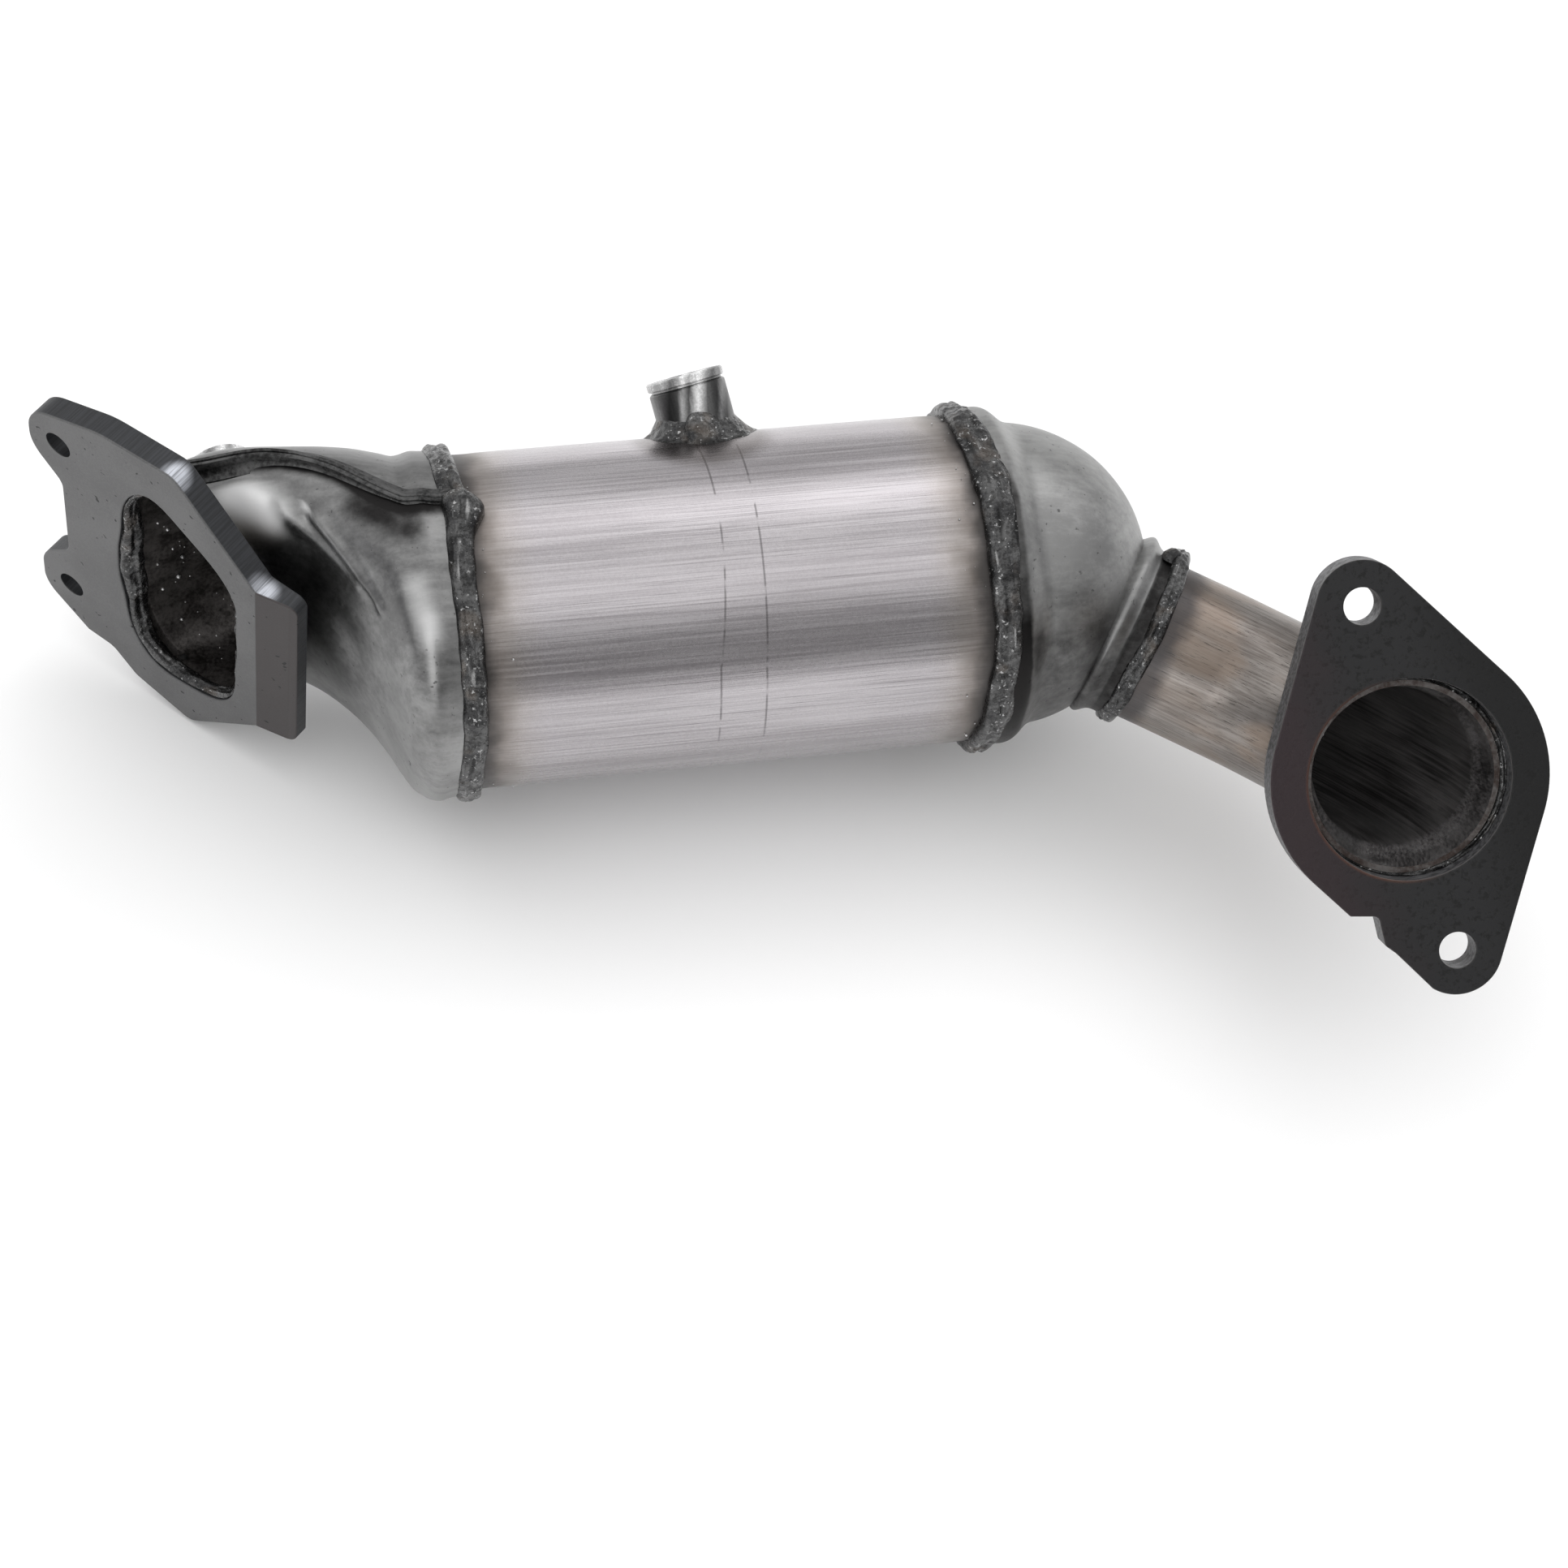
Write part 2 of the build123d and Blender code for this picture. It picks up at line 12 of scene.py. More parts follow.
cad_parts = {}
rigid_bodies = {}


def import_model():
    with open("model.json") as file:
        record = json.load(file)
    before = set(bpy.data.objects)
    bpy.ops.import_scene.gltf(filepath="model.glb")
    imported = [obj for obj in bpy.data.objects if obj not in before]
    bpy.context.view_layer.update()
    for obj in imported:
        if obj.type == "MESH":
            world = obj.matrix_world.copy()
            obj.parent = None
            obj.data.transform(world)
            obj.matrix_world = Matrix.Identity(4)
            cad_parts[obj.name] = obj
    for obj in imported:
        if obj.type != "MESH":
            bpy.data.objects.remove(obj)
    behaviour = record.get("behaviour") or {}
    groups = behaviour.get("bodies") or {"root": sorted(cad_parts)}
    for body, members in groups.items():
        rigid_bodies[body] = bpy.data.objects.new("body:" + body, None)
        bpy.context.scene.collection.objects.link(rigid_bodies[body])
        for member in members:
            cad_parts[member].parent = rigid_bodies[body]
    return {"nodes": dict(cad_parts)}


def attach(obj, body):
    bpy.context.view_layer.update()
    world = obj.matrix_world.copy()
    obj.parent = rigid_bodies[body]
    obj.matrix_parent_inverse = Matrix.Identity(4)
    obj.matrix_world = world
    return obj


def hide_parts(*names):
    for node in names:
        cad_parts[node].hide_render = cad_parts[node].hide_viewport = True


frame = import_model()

bl_info = {
    "name": "Catalytic converter looks",
    "version": (1, 0, 0),
    "blender": (4, 5, 0),
    "location": "View3D > Sidebar > Converter",
    "description": "Builds the plates, shells, tubes, welds and finishes of an exhaust catalytic converter",
    "category": "Object",
}

# Lengths below are in millimetres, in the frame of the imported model
MM = 0.001
BODY_LEN = 162.3
BODY_R = 50.8
COLLAR_R = 52.45  # outside of the cones where they slip over the body
WALL = 1.5
INLET_THICK = 8.0
INLET_LOW, INLET_HIGH = -11.5, 86.8  # ends of the inlet plate, from the line of its studs
STUD_AT, STUD_R = 37.1, 5.0
PORT_AT = (-4.0, 44.0)
LIP_FROM, LIP_LONG, LIP_DROP = 73.6, 13.2, 3.0  # the inlet plate thins from here to its far edge
DOME_AT, DOME_FROM, DOME_R = 8.0, 14.0, 47.2  # centre and start of the dome, past the end of the body
NECK_R, NECK_BORE, NECK_IN = 26.8, 25.5, -12.0  # the collar that the dome ends in
LEAD, BEND_R, BEND = 23.9, 56.1, radians(82.6)  # the pipe's straight lead, then its bend
PIPE_R, PIPE_WALL = 25.4, 1.6
OUTLET_THICK = 10.0
BOLT_AT, BOLT_R = 53.0, 5.4
EAR_R, SHOULDER_R, BORE_R = 13.4, 40.8, 29.7
BOSS_R, BOSS_TALL, THREAD_R = 11.8, 15.2, 9.0
FOOT_R, FOOT_TALL, FOOT_FROM = 17.2, 6.2, 14.0  # the weld round a boss, found from a height over the wall
# The port's outline round PORT_AT: angles in degrees and the radius at each
PORT_ANGLES = (90, 112, 135, 157, 180, 191, 203, 225, 248, 270, 293, 315, 337, 349, 360, 382, 405, 428)
PORT_RADII = (
    22, 23.9, 30.2, 43, 46.6, 47.6, 43.3, 30.6, 25.2, 23.6, 25, 30.4, 43, 46.2, 41.5, 34.8, 29.8, 23.9,
)
# The seam's way along the body, and its distance to the far side of the body axis
SEAM_ALONG = (-120, -65, -45, -29, -15, -2, 12)
SEAM_ASIDE = (31, 31, 30, 22, 11.5, 8.5, 8)
FLOOR_LEVEL, FLOOR_HALF = -74.5, 1500.0
PHOTO_WIDE, FOCAL = 1932, 4000  # pixels


class Datum:
    """A plane to build on: origin, x and z directions."""

    def __init__(self, origin, x, z):
        self.origin = np.array(origin, float)
        self.z = unit(z)
        self.x = unit(np.array(x, float) - self.z * np.dot(x, self.z))
        self.y = np.cross(self.z, self.x)

    def at(self, u, v, w=0.0):
        u, v, w = np.broadcast_arrays(np.asarray(u, float), v, w)
        return self.origin + u[..., None] * self.x + v[..., None] * self.y + w[..., None] * self.z

    def circle(self, radius, angle, depth=0.0):
        return self.at(radius * np.cos(angle), radius * np.sin(angle), depth)

    def spokes(self, angle):
        """Directions away from the z axis at each angle, and the z axis beside each."""
        out = np.cos(angle)[:, None] * self.x + np.sin(angle)[:, None] * self.y
        return out, np.tile(self.z, (len(angle), 1))

    def local(self, points):
        away = np.asarray(points, float) - self.origin
        return np.stack([away @ self.x, away @ self.y, away @ self.z], -1)


def unit(v):
    v = np.array(v, float)
    return v / np.linalg.norm(v, axis=-1, keepdims=True)


# The inlet plate is tilted from square to the body, and the line of its studs is turned in its face
TILT = radians(45.6)
CLOCK = radians(2.9)
ACROSS = np.array((sin(TILT), -cos(TILT), 0))
# Angles round the body start at the top and pass the near side at 90 degrees
BODY = Datum((111.1, -47.6, -5.8), (0, 0, 1), (1, 0, 0))
INLET = Datum((0, 0, 0), np.array((0, 0, cos(CLOCK))) + ACROSS * sin(CLOCK), (cos(TILT), sin(TILT), 0))
OUTLET = Datum((375.581, -159.656, 34.426), (-0.229672, 0.746511, 0.624477), (-0.133314, -0.659711, 0.7396))
COLLAR = Datum((315.6, -66.2683, -10.6975), (0, 0.253758, -0.967268), (0.844328, -0.518288, -0.13597))
PIPE = Datum((323.959, -71.3993, -12.0436), (0.844328, -0.518288, -0.13597), (-0.477, -0.611431, -0.631366))
MID_BOSS = Datum((192.3, -7.5692, 25.476), (1, 0, 0), (-0.190809, 0.773530, 0.604347))
UP_BOSS = Datum((51.6, 2.4, -8.8), (0, 0, 1), (-0.28, 0.96, 0))


def full_turn(count):
    """Angles of a closed ring."""
    return np.linspace(0, 2 * pi, count + 1)[:-1]


def smooth_line(knots, values, places):
    """Natural cubic curve through values at the knots, read at other places."""
    knots = np.asarray(knots, float)
    values = np.asarray(values, float)
    places = np.asarray(places, float)
    count = len(knots)
    gap = np.diff(knots)
    shape = (1,) * (values.ndim - 1)
    matrix = np.eye(count)
    right = np.zeros_like(values)
    slope = np.diff(values, axis=0) / gap.reshape((-1,) + shape)
    for i in range(1, count - 1):
        matrix[i, i - 1 : i + 2] = gap[i - 1], 2 * (gap[i - 1] + gap[i]), gap[i]
        right[i] = 6 * (slope[i] - slope[i - 1])
    bend = np.linalg.solve(matrix, right.reshape(count, -1)).reshape(values.shape)
    k = np.clip(np.searchsorted(knots, places, side="right") - 1, 0, count - 2)
    h = gap[k].reshape(places.shape + shape)
    a = ((knots[k + 1] - places).reshape(places.shape + shape)) / h
    b = 1 - a
    return (
        a * values[k]
        + b * values[k + 1]
        + ((a**3 - a) * bend[k] + (b**3 - b) * bend[k + 1]) * h * h / 6
    )


def round_radii(radii, angles):
    """Radius of a closed smooth outline at any angle, in degrees, through the port's angles."""
    knots = np.concatenate([np.array(PORT_ANGLES) - 360, PORT_ANGLES, np.array(PORT_ANGLES) + 360])
    return smooth_line(knots, np.tile(np.asarray(radii, float), 3), angles)


def bumps(points, size, seed=0.0):
    """Smooth noise from -1 to 1 at each point; size is the width of a lump in mm."""
    flat = np.asarray(points, float).reshape(-1, 3) / size + seed
    values = np.fromiter((noise.noise(Vector(p)) for p in flat), float, len(flat))
    return values.reshape(np.shape(points)[:-1])


def soft_step(value, low, high):
    t = np.clip((np.asarray(value, float) - low) / (high - low), 0, 1)
    return t * t * (3 - 2 * t)


def link(name, mesh, materials, node):
    """A finished piece of the converter, in place of its plain node and riding on the only body."""
    piece = bpy.data.objects.new(name, mesh)
    bpy.context.scene.collection.objects.link(piece)
    for material in materials:
        piece.data.materials.append(material)
    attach(piece, "root")
    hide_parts(node)


def mesh_of(name, points, faces, crease=35, zones=(), soot=None):
    """Mesh from points in mm, smooth apart from the sharp bends.

    Zones give the first face of a run of faces and its material; the last argument is the darkness of each
    point, from stains and painted shade, and below zero its painted highlight.
    """
    mesh = bpy.data.meshes.new(name)
    mesh.from_pydata((np.asarray(points, float) * MM).tolist(), [], faces)
    mesh.update()
    kinds = np.zeros(len(faces), int)
    for first, kind in zones:
        kinds[first:] = kind
    mesh.polygons.foreach_set("material_index", kinds)
    if soot is not None:
        mesh.attributes.new("soot", "FLOAT", "POINT").data.foreach_set("value", np.ravel(soot))
    mesh.shade_smooth()
    mesh.set_sharp_from_angle(angle=radians(crease))
    return mesh


def grid(points, round_u=False, round_v=True, flip=False, start=0):
    """Points and quads of a sheet given as rows of points."""
    rows, columns = points.shape[:2]
    faces = []
    for i in range(rows if round_u else rows - 1):
        for j in range(columns if round_v else columns - 1):
            a = i * columns + j
            b = i * columns + (j + 1) % columns
            c = ((i + 1) % rows) * columns + (j + 1) % columns
            d = ((i + 1) % rows) * columns + j
            faces.append([start + n for n in ((a, d, c, b) if flip else (a, b, c, d))])
    return points.reshape(-1, 3), faces


def join(*sheets):
    """Several grids as one list of points and faces."""
    points = []
    faces = []
    start = 0
    for sheet_points, sheet_faces in sheets:
        points.append(sheet_points)
        faces.extend([[n + start for n in face] for face in sheet_faces])
        start += len(sheet_points)
    return np.concatenate(points), faces


def outward(points, round_v=True):
    """Unit normals of a sheet of points."""
    if round_v:
        along_v = np.roll(points, -1, 1) - np.roll(points, 1, 1)
    else:
        along_v = np.gradient(points, axis=1)
    along_u = np.gradient(points, axis=0)
    return unit(np.cross(along_v, along_u) + 1e-12)


def rounded(corners, radii):
    """Closed outline with arcs in its corners."""
    outline = []
    count = len(corners)
    for i, radius in enumerate(radii):
        corner = np.array(corners[i], float)
        if radius == 0:
            outline.append(tuple(corner))
            continue
        before = unit(np.array(corners[i - 1], float) - corner)
        after = unit(np.array(corners[(i + 1) % count], float) - corner)
        half = np.arccos(np.clip(before @ after, -1, 1)) / 2
        centre = corner + unit(before + after) * radius / np.sin(half)
        first = corner + before * radius / np.tan(half) - centre
        last = corner + after * radius / np.tan(half) - centre
        start = atan2(first[1], first[0])
        turn = (atan2(last[1], last[0]) - start + pi) % (2 * pi) - pi
        steps = max(3, int(abs(turn) * radius / 0.7))
        for k in range(steps + 1):
            a = start + turn * k / steps
            outline.append((centre[0] + radius * cos(a), centre[1] + radius * sin(a)))
    return outline


def arc(centre, radius, angles):
    """Points round (centre, 0), at angles in degrees."""
    return [(centre + radius * cos(radians(a)), radius * sin(radians(a))) for a in angles]


def hole(centre, radius, count=64):
    return arc(centre, radius, 360 * np.arange(count) / count)


def plate_mesh(name, outline, holes, thickness):
    """Flat plate with softened edges, from a filled outline that is given depth."""
    bevel = sizes().edge_bevel / MM
    curve = bpy.data.curves.new(name, "CURVE")
    curve.dimensions = "2D"
    curve.fill_mode = "BOTH"
    curve.extrude = (thickness / 2 - bevel) * MM
    curve.bevel_depth = bevel * MM
    curve.bevel_resolution = 2
    curve.offset = -bevel * MM
    for loop in (outline, *holes):
        spline = curve.splines.new("POLY")
        spline.points.add(len(loop) - 1)
        for point, (u, v) in zip(spline.points, loop):
            point.co = (u * MM, v * MM, 0, 1)
        spline.use_cyclic_u = True
    holder = bpy.data.objects.new(name, curve)
    bpy.context.scene.collection.objects.link(holder)
    bpy.context.view_layer.update()
    mesh = bpy.data.meshes.new_from_object(holder.evaluated_get(bpy.context.evaluated_depsgraph_get()))
    bpy.data.objects.remove(holder)
    bpy.data.curves.remove(curve)
    mesh.materials.clear()
    with_form(mesh, lambda form: bmesh.ops.remove_doubles(form, verts=form.verts, dist=0.00001))
    return mesh


def with_form(mesh, change):
    """Applies a change to a mesh through an editable form."""
    form = bmesh.new()
    form.from_mesh(mesh)
    change(form)
    form.to_mesh(mesh)
    form.free()


def lay(mesh, datum, depth, paint, node):
    """Moves a flat plate's points onto its datum, at a depth found from (v, w), and links it."""
    flat = np.empty(len(mesh.vertices) * 3)
    mesh.vertices.foreach_get("co", flat)
    u, v, w = (flat.reshape(-1, 3) / MM).T
    mesh.vertices.foreach_set("co", (datum.at(u, v, depth(v, w)) * MM).reshape(-1))
    mesh.update()
    mesh.shade_smooth()
    mesh.set_sharp_from_angle(angle=radians(10))
    link(mesh.name, mesh, [paint], node)


def spatter(rng, seats, normals, count, small, large):
    """Beads of weld spatter: half-round drops on the given seats."""
    points = []
    faces = []
    for _ in range(count):
        k = rng.integers(len(seats))
        size = small + (large - small) * rng.random() ** 3
        drop = Datum(seats[k] + normals[k] * size * 0.2, (0.3, 0.5, 0.81), normals[k])
        tilts = np.radians((88, 60, 30, 5))
        rows = [drop.circle(size * sin(tilt), full_turn(8), size * cos(tilt)) for tilt in tilts]
        sheet, quads = grid(np.array(rows), start=sum(len(p) for p in points))
        points.append(sheet)
        faces.extend(quads)
    return np.concatenate(points), faces


def bead(path, up, side, width, height, ripple, seed, lumps=(), sink=1.0):
    """Weld bead along a path, and the darkness of its points, with painted shade and painted glints.

    It is broad, lumpy and streaked lengthwise, with ripples here and there.
    """
    run = np.concatenate([[0], np.cumsum(np.linalg.norm(np.diff(path, axis=0), axis=1))])
    loop = run[-1] + np.linalg.norm(path[0] - path[-1])
    slow = bumps(path, 17, seed)
    quick = bumps(path, 6, seed + 9)
    patch = soft_step(bumps(path, 12, seed + 4), -0.15, 0.3)
    split = soft_step(bumps(path, 30, seed + 6), -0.3, 0.2)
    width = np.broadcast_to(width, run.shape)
    height = np.broadcast_to(height, run.shape)
    rows = []
    dark = []
    steps = 20
    for k in range(steps + 1):
        turn = pi * k / steps
        share = -cos(turn)
        crown = sin(turn) ** 0.6
        phase = 2 * pi * run / loop * round(loop / ripple) + 1.7 * share**2 + 3.0 * slow + 1.2 * quick
        ropes = bumps(path * 0.13 + side * (share * 1.9), 1.0, seed + 40)
        strands = bumps(path * 0.10 + side * (share * 4.2), 1.0, seed + 61)
        groove = np.exp(-(((share + 0.3 * slow) / 0.17) ** 2)) * split
        uneven = 1 + 0.25 * slow + 0.25 * quick + 0.38 * ropes + 0.06 * patch * np.sin(phase)
        tall = height * crown * uneven * (1 - 0.22 * groove)
        wide = width / 2 * (share * (1 + 0.10 * quick) + 0.22 * slow)
        spot = path + side * wide[:, None] + up * tall[:, None]
        for centre, radius, rise in lumps:
            near = np.linalg.norm(spot - np.array(centre), axis=1)
            lift = rise * np.clip(1 - (near / radius) ** 2, 0, 1) ** 0.7 * crown
            spot = spot + up * lift[:, None]
        rows.append(spot)
        # Darker towards the edges; painted shade in the groove and between the ropes; below zero, painted
        # glints along the ropes and strands
        dark.append(np.clip(0.9 * abs(share) ** 5 - 0.7 * ropes - 0.9 * strands + 0.6 * groove, -1, 1))
    for way, at in ((-1, 0), (1, len(rows) + 1)):
        edge = width / 2 * (way * (1 + 0.10 * quick) + 0.22 * slow)
        rows.insert(at, path + side * edge[:, None] - up * sink)
        dark.insert(at, np.ones(len(path)))
    rows = np.array(rows)
    fine = bumps(rows, 1.4, seed + 20) * 0.20 + bumps(rows, 3.0, seed + 30) * 0.34
    rows[1:-1] += (up[None] * fine[..., None])[1:-1]
    return grid(rows.transpose(1, 0, 2), round_u=True, round_v=False), np.array(dark).T.ravel()


# Shader maths


class Value:
    """One output socket, so that shader maths reads as plain expressions."""

    def __init__(self, finish, socket):
        self.finish = finish
        self.socket = socket

    def math(self, operation, *others):
        return self.finish.node(
            "ShaderNodeMath", {"operation": operation}, {i: v for i, v in enumerate((self, *others))}
        )

    def __add__(self, other):
        return self.math("ADD", other)

    def __sub__(self, other):
        return self.math("SUBTRACT", other)

    def __mul__(self, other):
        return self.math("MULTIPLY", other)

    def __truediv__(self, other):
        return self.math("DIVIDE", other)

    def __pow__(self, other):
        return self.math("POWER", other)

    def __rsub__(self, other):
        return self.finish.node("ShaderNodeMath", {"operation": "SUBTRACT"}, {0: other, 1: self})

    __radd__ = __add__
    __rmul__ = __mul__

    def __abs__(self):
        return self.math("ABSOLUTE")

    def high(self, other):
        return self.math("MAXIMUM", other)

    def low(self, other):
        return self.math("MINIMUM", other)


class Finish:
    """A material, or the world, while its nodes are laid out."""

    def __init__(self, name, holder=None):
        self.holder = holder or bpy.data.materials.new(name)
        self.holder.use_nodes = True
        self.tree = self.holder.node_tree
        self.tree.nodes.clear()

    def node(self, kind, settings=None, sockets=None, out=0):
        made = self.tree.nodes.new(kind)
        for key, value in (settings or {}).items():
            setattr(made, key, value)
        for key, value in (sockets or {}).items():
            socket = made.inputs[key]
            if isinstance(value, Value):
                self.tree.links.new(value.socket, socket)
            elif isinstance(value, (tuple, list)) and len(value) == 3 and socket.type == "RGBA":
                socket.default_value = (*value, 1)
            else:
                socket.default_value = value
        return Value(self, made.outputs[out])

    def place(self):
        """Position on the piece, in millimetres."""
        where = self.node("ShaderNodeTexCoord", out="Object")
        return self.stretched(where, (1 / MM, 1 / MM, 1 / MM))

    def stretched(self, vector, factors):
        return self.vectors("MULTIPLY", vector, factors)

    def within(self, vector, datum):
        """Place along each direction of a datum."""
        return [self.along(vector, datum.origin, way) for way in (datum.x, datum.y, datum.z)]

    def joined(self, x, y, z=0.0):
        return self.node("ShaderNodeCombineXYZ", None, {"X": x, "Y": y, "Z": z})

    def axes(self, vector):
        parts = self.node("ShaderNodeSeparateXYZ", None, {0: vector})
        return [Value(self, parts.socket.node.outputs[i]) for i in range(3)]

    def along(self, vector, origin, direction):
        """Distance along a direction from an origin."""
        away = self.vectors("SUBTRACT", vector, origin)
        return self.vectors("DOT_PRODUCT", away, direction, out="Value")

    def distance(self, vector, point):
        return self.vectors("DISTANCE", vector, point, out="Value")

    def vectors(self, operation, vector, fixed, out=0):
        """A vector and a fixed one through one operation."""
        sockets = {0: vector, 1: tuple(fixed)}
        return self.node("ShaderNodeVectorMath", {"operation": operation}, sockets, out)

    def cloud(self, vector, scale, detail=3.0, rough=0.5):
        sockets = {"Vector": vector, "Scale": scale, "Detail": detail, "Roughness": rough}
        return self.node("ShaderNodeTexNoise", {"noise_dimensions": "3D"}, sockets, out="Fac")

    def streaks(self, vector, scales, detail=3.0, rough=0.5):
        """Clouds with a scale of their own in each direction."""
        return self.cloud(self.stretched(vector, scales), 1.0, detail, rough)

    def ease(self, value, low, high, start=0.0, end=1.0):
        return self.node(
            "ShaderNodeMapRange",
            {"interpolation_type": "SMOOTHSTEP"},
            {"Value": value, "From Min": low, "From Max": high, "To Min": start, "To Max": end},
        )

    def soot(self):
        """Darkness stored in the points of a piece, from stains and painted shade; below zero, a painted
        highlight.
        """
        return self.node("ShaderNodeAttribute", {"attribute_name": "soot"}, out="Fac")

    def ramp(self, value, greys):
        """Grey tones at places from 0 to 1."""
        scale = self.node("ShaderNodeValToRGB", None, {"Fac": value})
        stops = scale.socket.node.color_ramp.elements
        for stop, (place, grey) in zip(stops, (greys[0], greys[-1])):
            stop.position = place
            stop.color = (grey, grey, grey, 1)
        for place, grey in greys[1:-1]:
            stops.new(place).color = (grey, grey, grey, 1)
        return scale

    def blend(self, factor, first, second):
        mix = self.node("ShaderNodeMix", {"data_type": "RGBA"}, {0: factor, 6: first, 7: second})
        return Value(self, mix.socket.node.outputs[2])

    def surface(self, colour, rough, metallic, height, strength, distance):
        """Principled surface, with a bump from a height."""
        sockets = {"Strength": strength, "Distance": distance, "Height": height}
        bump = self.node("ShaderNodeBump", None, sockets)
        sockets = {"Base Color": colour, "Roughness": rough, "Metallic": metallic, "Normal": bump}
        return self.close(self.node("ShaderNodeBsdfPrincipled", None, sockets))

    def close(self, shader, kind="ShaderNodeOutputMaterial"):
        end = self.tree.nodes.new(kind)
        self.tree.links.new(shader.socket, end.inputs["Surface"])
        return self.holder


def bare_steel(name, dark, light, tint, rough=0.36):
    """Drawn or stamped stainless sheet: cloudy grey, fine pits, rub marks, a tint round one spot, stains and
    painted shade in places, and painted highlights.
    """
    f = Finish(name)
    p = f.place()
    cloudy = f.cloud(p, 0.035, 4, 0.55)
    fine = f.cloud(p, 0.9, 4, 0.6)
    rub = f.streaks(p, (0.05, 0.4, 0.4), 5, 0.6)
    pits = f.ease(f.cloud(p, 0.55, 2, 0.5), 0.68, 0.76)
    tone = f.ease(cloudy * 0.55 + rub * 0.3 + fine * 0.15, 0.36, 0.64)
    colour = f.blend(tone, dark, light)
    # A tint round one spot: a brown heat tint on the cone, painted shade on the dome
    spot, reach, shade, amount = tint
    near = f.ease(f.distance(p, spot) + (cloudy - 0.5) * 8, 0, reach, amount, 0)
    colour = f.blend(near, colour, shade)
    colour = f.blend(pits * 0.5, colour, (0.05, 0.05, 0.05))
    # Stains and painted shade from the darkness stored in the points
    soot = f.ease(f.soot() + (f.cloud(p, 0.16, 4, 0.65) - 0.5) * 0.5, 0.12, 0.95)
    # Painted highlight where the stored darkness is below zero: lighter colour and less metallic
    painted_highlight = f.ease(0.0 - f.soot(), 0.04, 0.8)
    colour = f.blend(soot, colour, (0.022, 0.021, 0.021))
    colour = f.blend(painted_highlight, colour, (0.85, 0.85, 0.85))
    rough = rough + (fine - 0.5) * 0.16 + (rub - 0.5) * 0.12 + pits * 0.2
    height = fine * 0.5 + rub * 0.5 - pits * 0.4
    return f.surface(colour, rough, 1.0 - painted_highlight * 0.7, height, 0.16, 0.0002)


def smoked_steel(name, dark, light):
    """Sooted sheet: nearly matt, blotched, with fine grain."""
    f = Finish(name)
    p = f.place()
    fine = f.cloud(p, 0.9, 4, 0.62)
    blotch = f.cloud(p, 0.10, 4, 0.6)
    colour = f.blend(f.ease(blotch * 0.6 + fine * 0.4, 0.38, 0.62), dark, light)
    return f.surface(colour, 0.42 + (fine - 0.5) * 0.25, 0.85, fine * 0.6 + blotch * 0.6, 0.35, 0.0003)


def body_tube_steel():
    """Rolled tube: lengthwise brushing, scratches, two scribed lines, heat bands by the welds, painted shade
    on its lower side.
    """
    f = Finish("rolled_tube_steel")
    p = f.place()
    x, _, z = f.axes(p)
    brush = f.streaks(p, (0.010, 1.1, 1.1), 5, 0.65)
    hair = f.streaks(p, (0.02, 3.2, 3.2), 3, 0.7)
    cloudy = f.streaks(p, (0.010, 0.055, 0.055), 3, 0.5)
    grain = f.cloud(p, 1.3, 3, 0.6)
    tone = f.ease(brush * 0.5 + cloudy * 0.35 + grain * 0.15, 0.34, 0.66)
    colour = f.blend(tone, (0.40, 0.375, 0.39), (0.66, 0.63, 0.65))
    scratch = f.ease(hair, 0.66, 0.72) * f.ease(f.streaks(p, (0.03, 0.2, 0.2), 2), 0.48, 0.58)
    fine_lines = f.ease(hair, 0.53, 0.62) * f.ease(cloudy, 0.46, 0.56)
    colour = f.blend(fine_lines * 0.42, colour, (0.16, 0.15, 0.16))
    colour = f.blend(scratch * 0.75, colour, (0.06, 0.055, 0.06))
    for start, lean in ((187.6, 0.16), (200.0, 0.05)):
        off = abs(x - start - (z - 33).high(-12.0) * lean)
        line = f.ease(off, 0.14, 0.42, 1, 0) * f.ease(f.cloud(p, 0.14, 2), 0.38, 0.5)
        line = line * f.ease(z, -12, 4, 0.25, 1)
        colour = f.blend(line * 0.55, colour, (0.06, 0.055, 0.055))
    ragged = (f.cloud(p, 0.12, 3) - 0.5) * 6
    left = x - 117.0 + ragged
    right = 266.0 - x + ragged
    edge = left.low(right)
    straw = f.ease(edge, 4, 19, 1, 0)
    brown = f.ease(edge, 2, 11, 1, 0)
    soot = f.ease(edge, -1, 5, 1, 0)
    boss = f.distance(p, (191.5, -12.0, 37.0)) + ragged * 0.5
    brown_boss = f.ease(boss, 17, 25, 1, 0)
    colour = f.blend(straw * 0.45, colour, (0.38, 0.33, 0.27))
    colour = f.blend(brown * f.ease(cloudy, 0.4, 0.6, 0.75, 0.4), colour, (0.15, 0.13, 0.115))
    # Painted shade: darker towards the bottom of the tube
    colour = f.blend(f.ease(z, 8, 20, 0.24, 0), colour, (0.02, 0.02, 0.02))
    colour = f.blend(soot * 0.8, colour, (0.045, 0.044, 0.045))
    colour = f.blend(brown_boss * 0.6, colour, (0.12, 0.10, 0.09))
    rough = 0.27 + (brush - 0.5) * 0.2 + (grain - 0.5) * 0.08 + brown * 0.14 + scratch * 0.2
    return f.surface(colour, rough, 1.0, brush * 0.7 + hair * 0.3 - scratch * 0.5, 0.22, 0.00025)


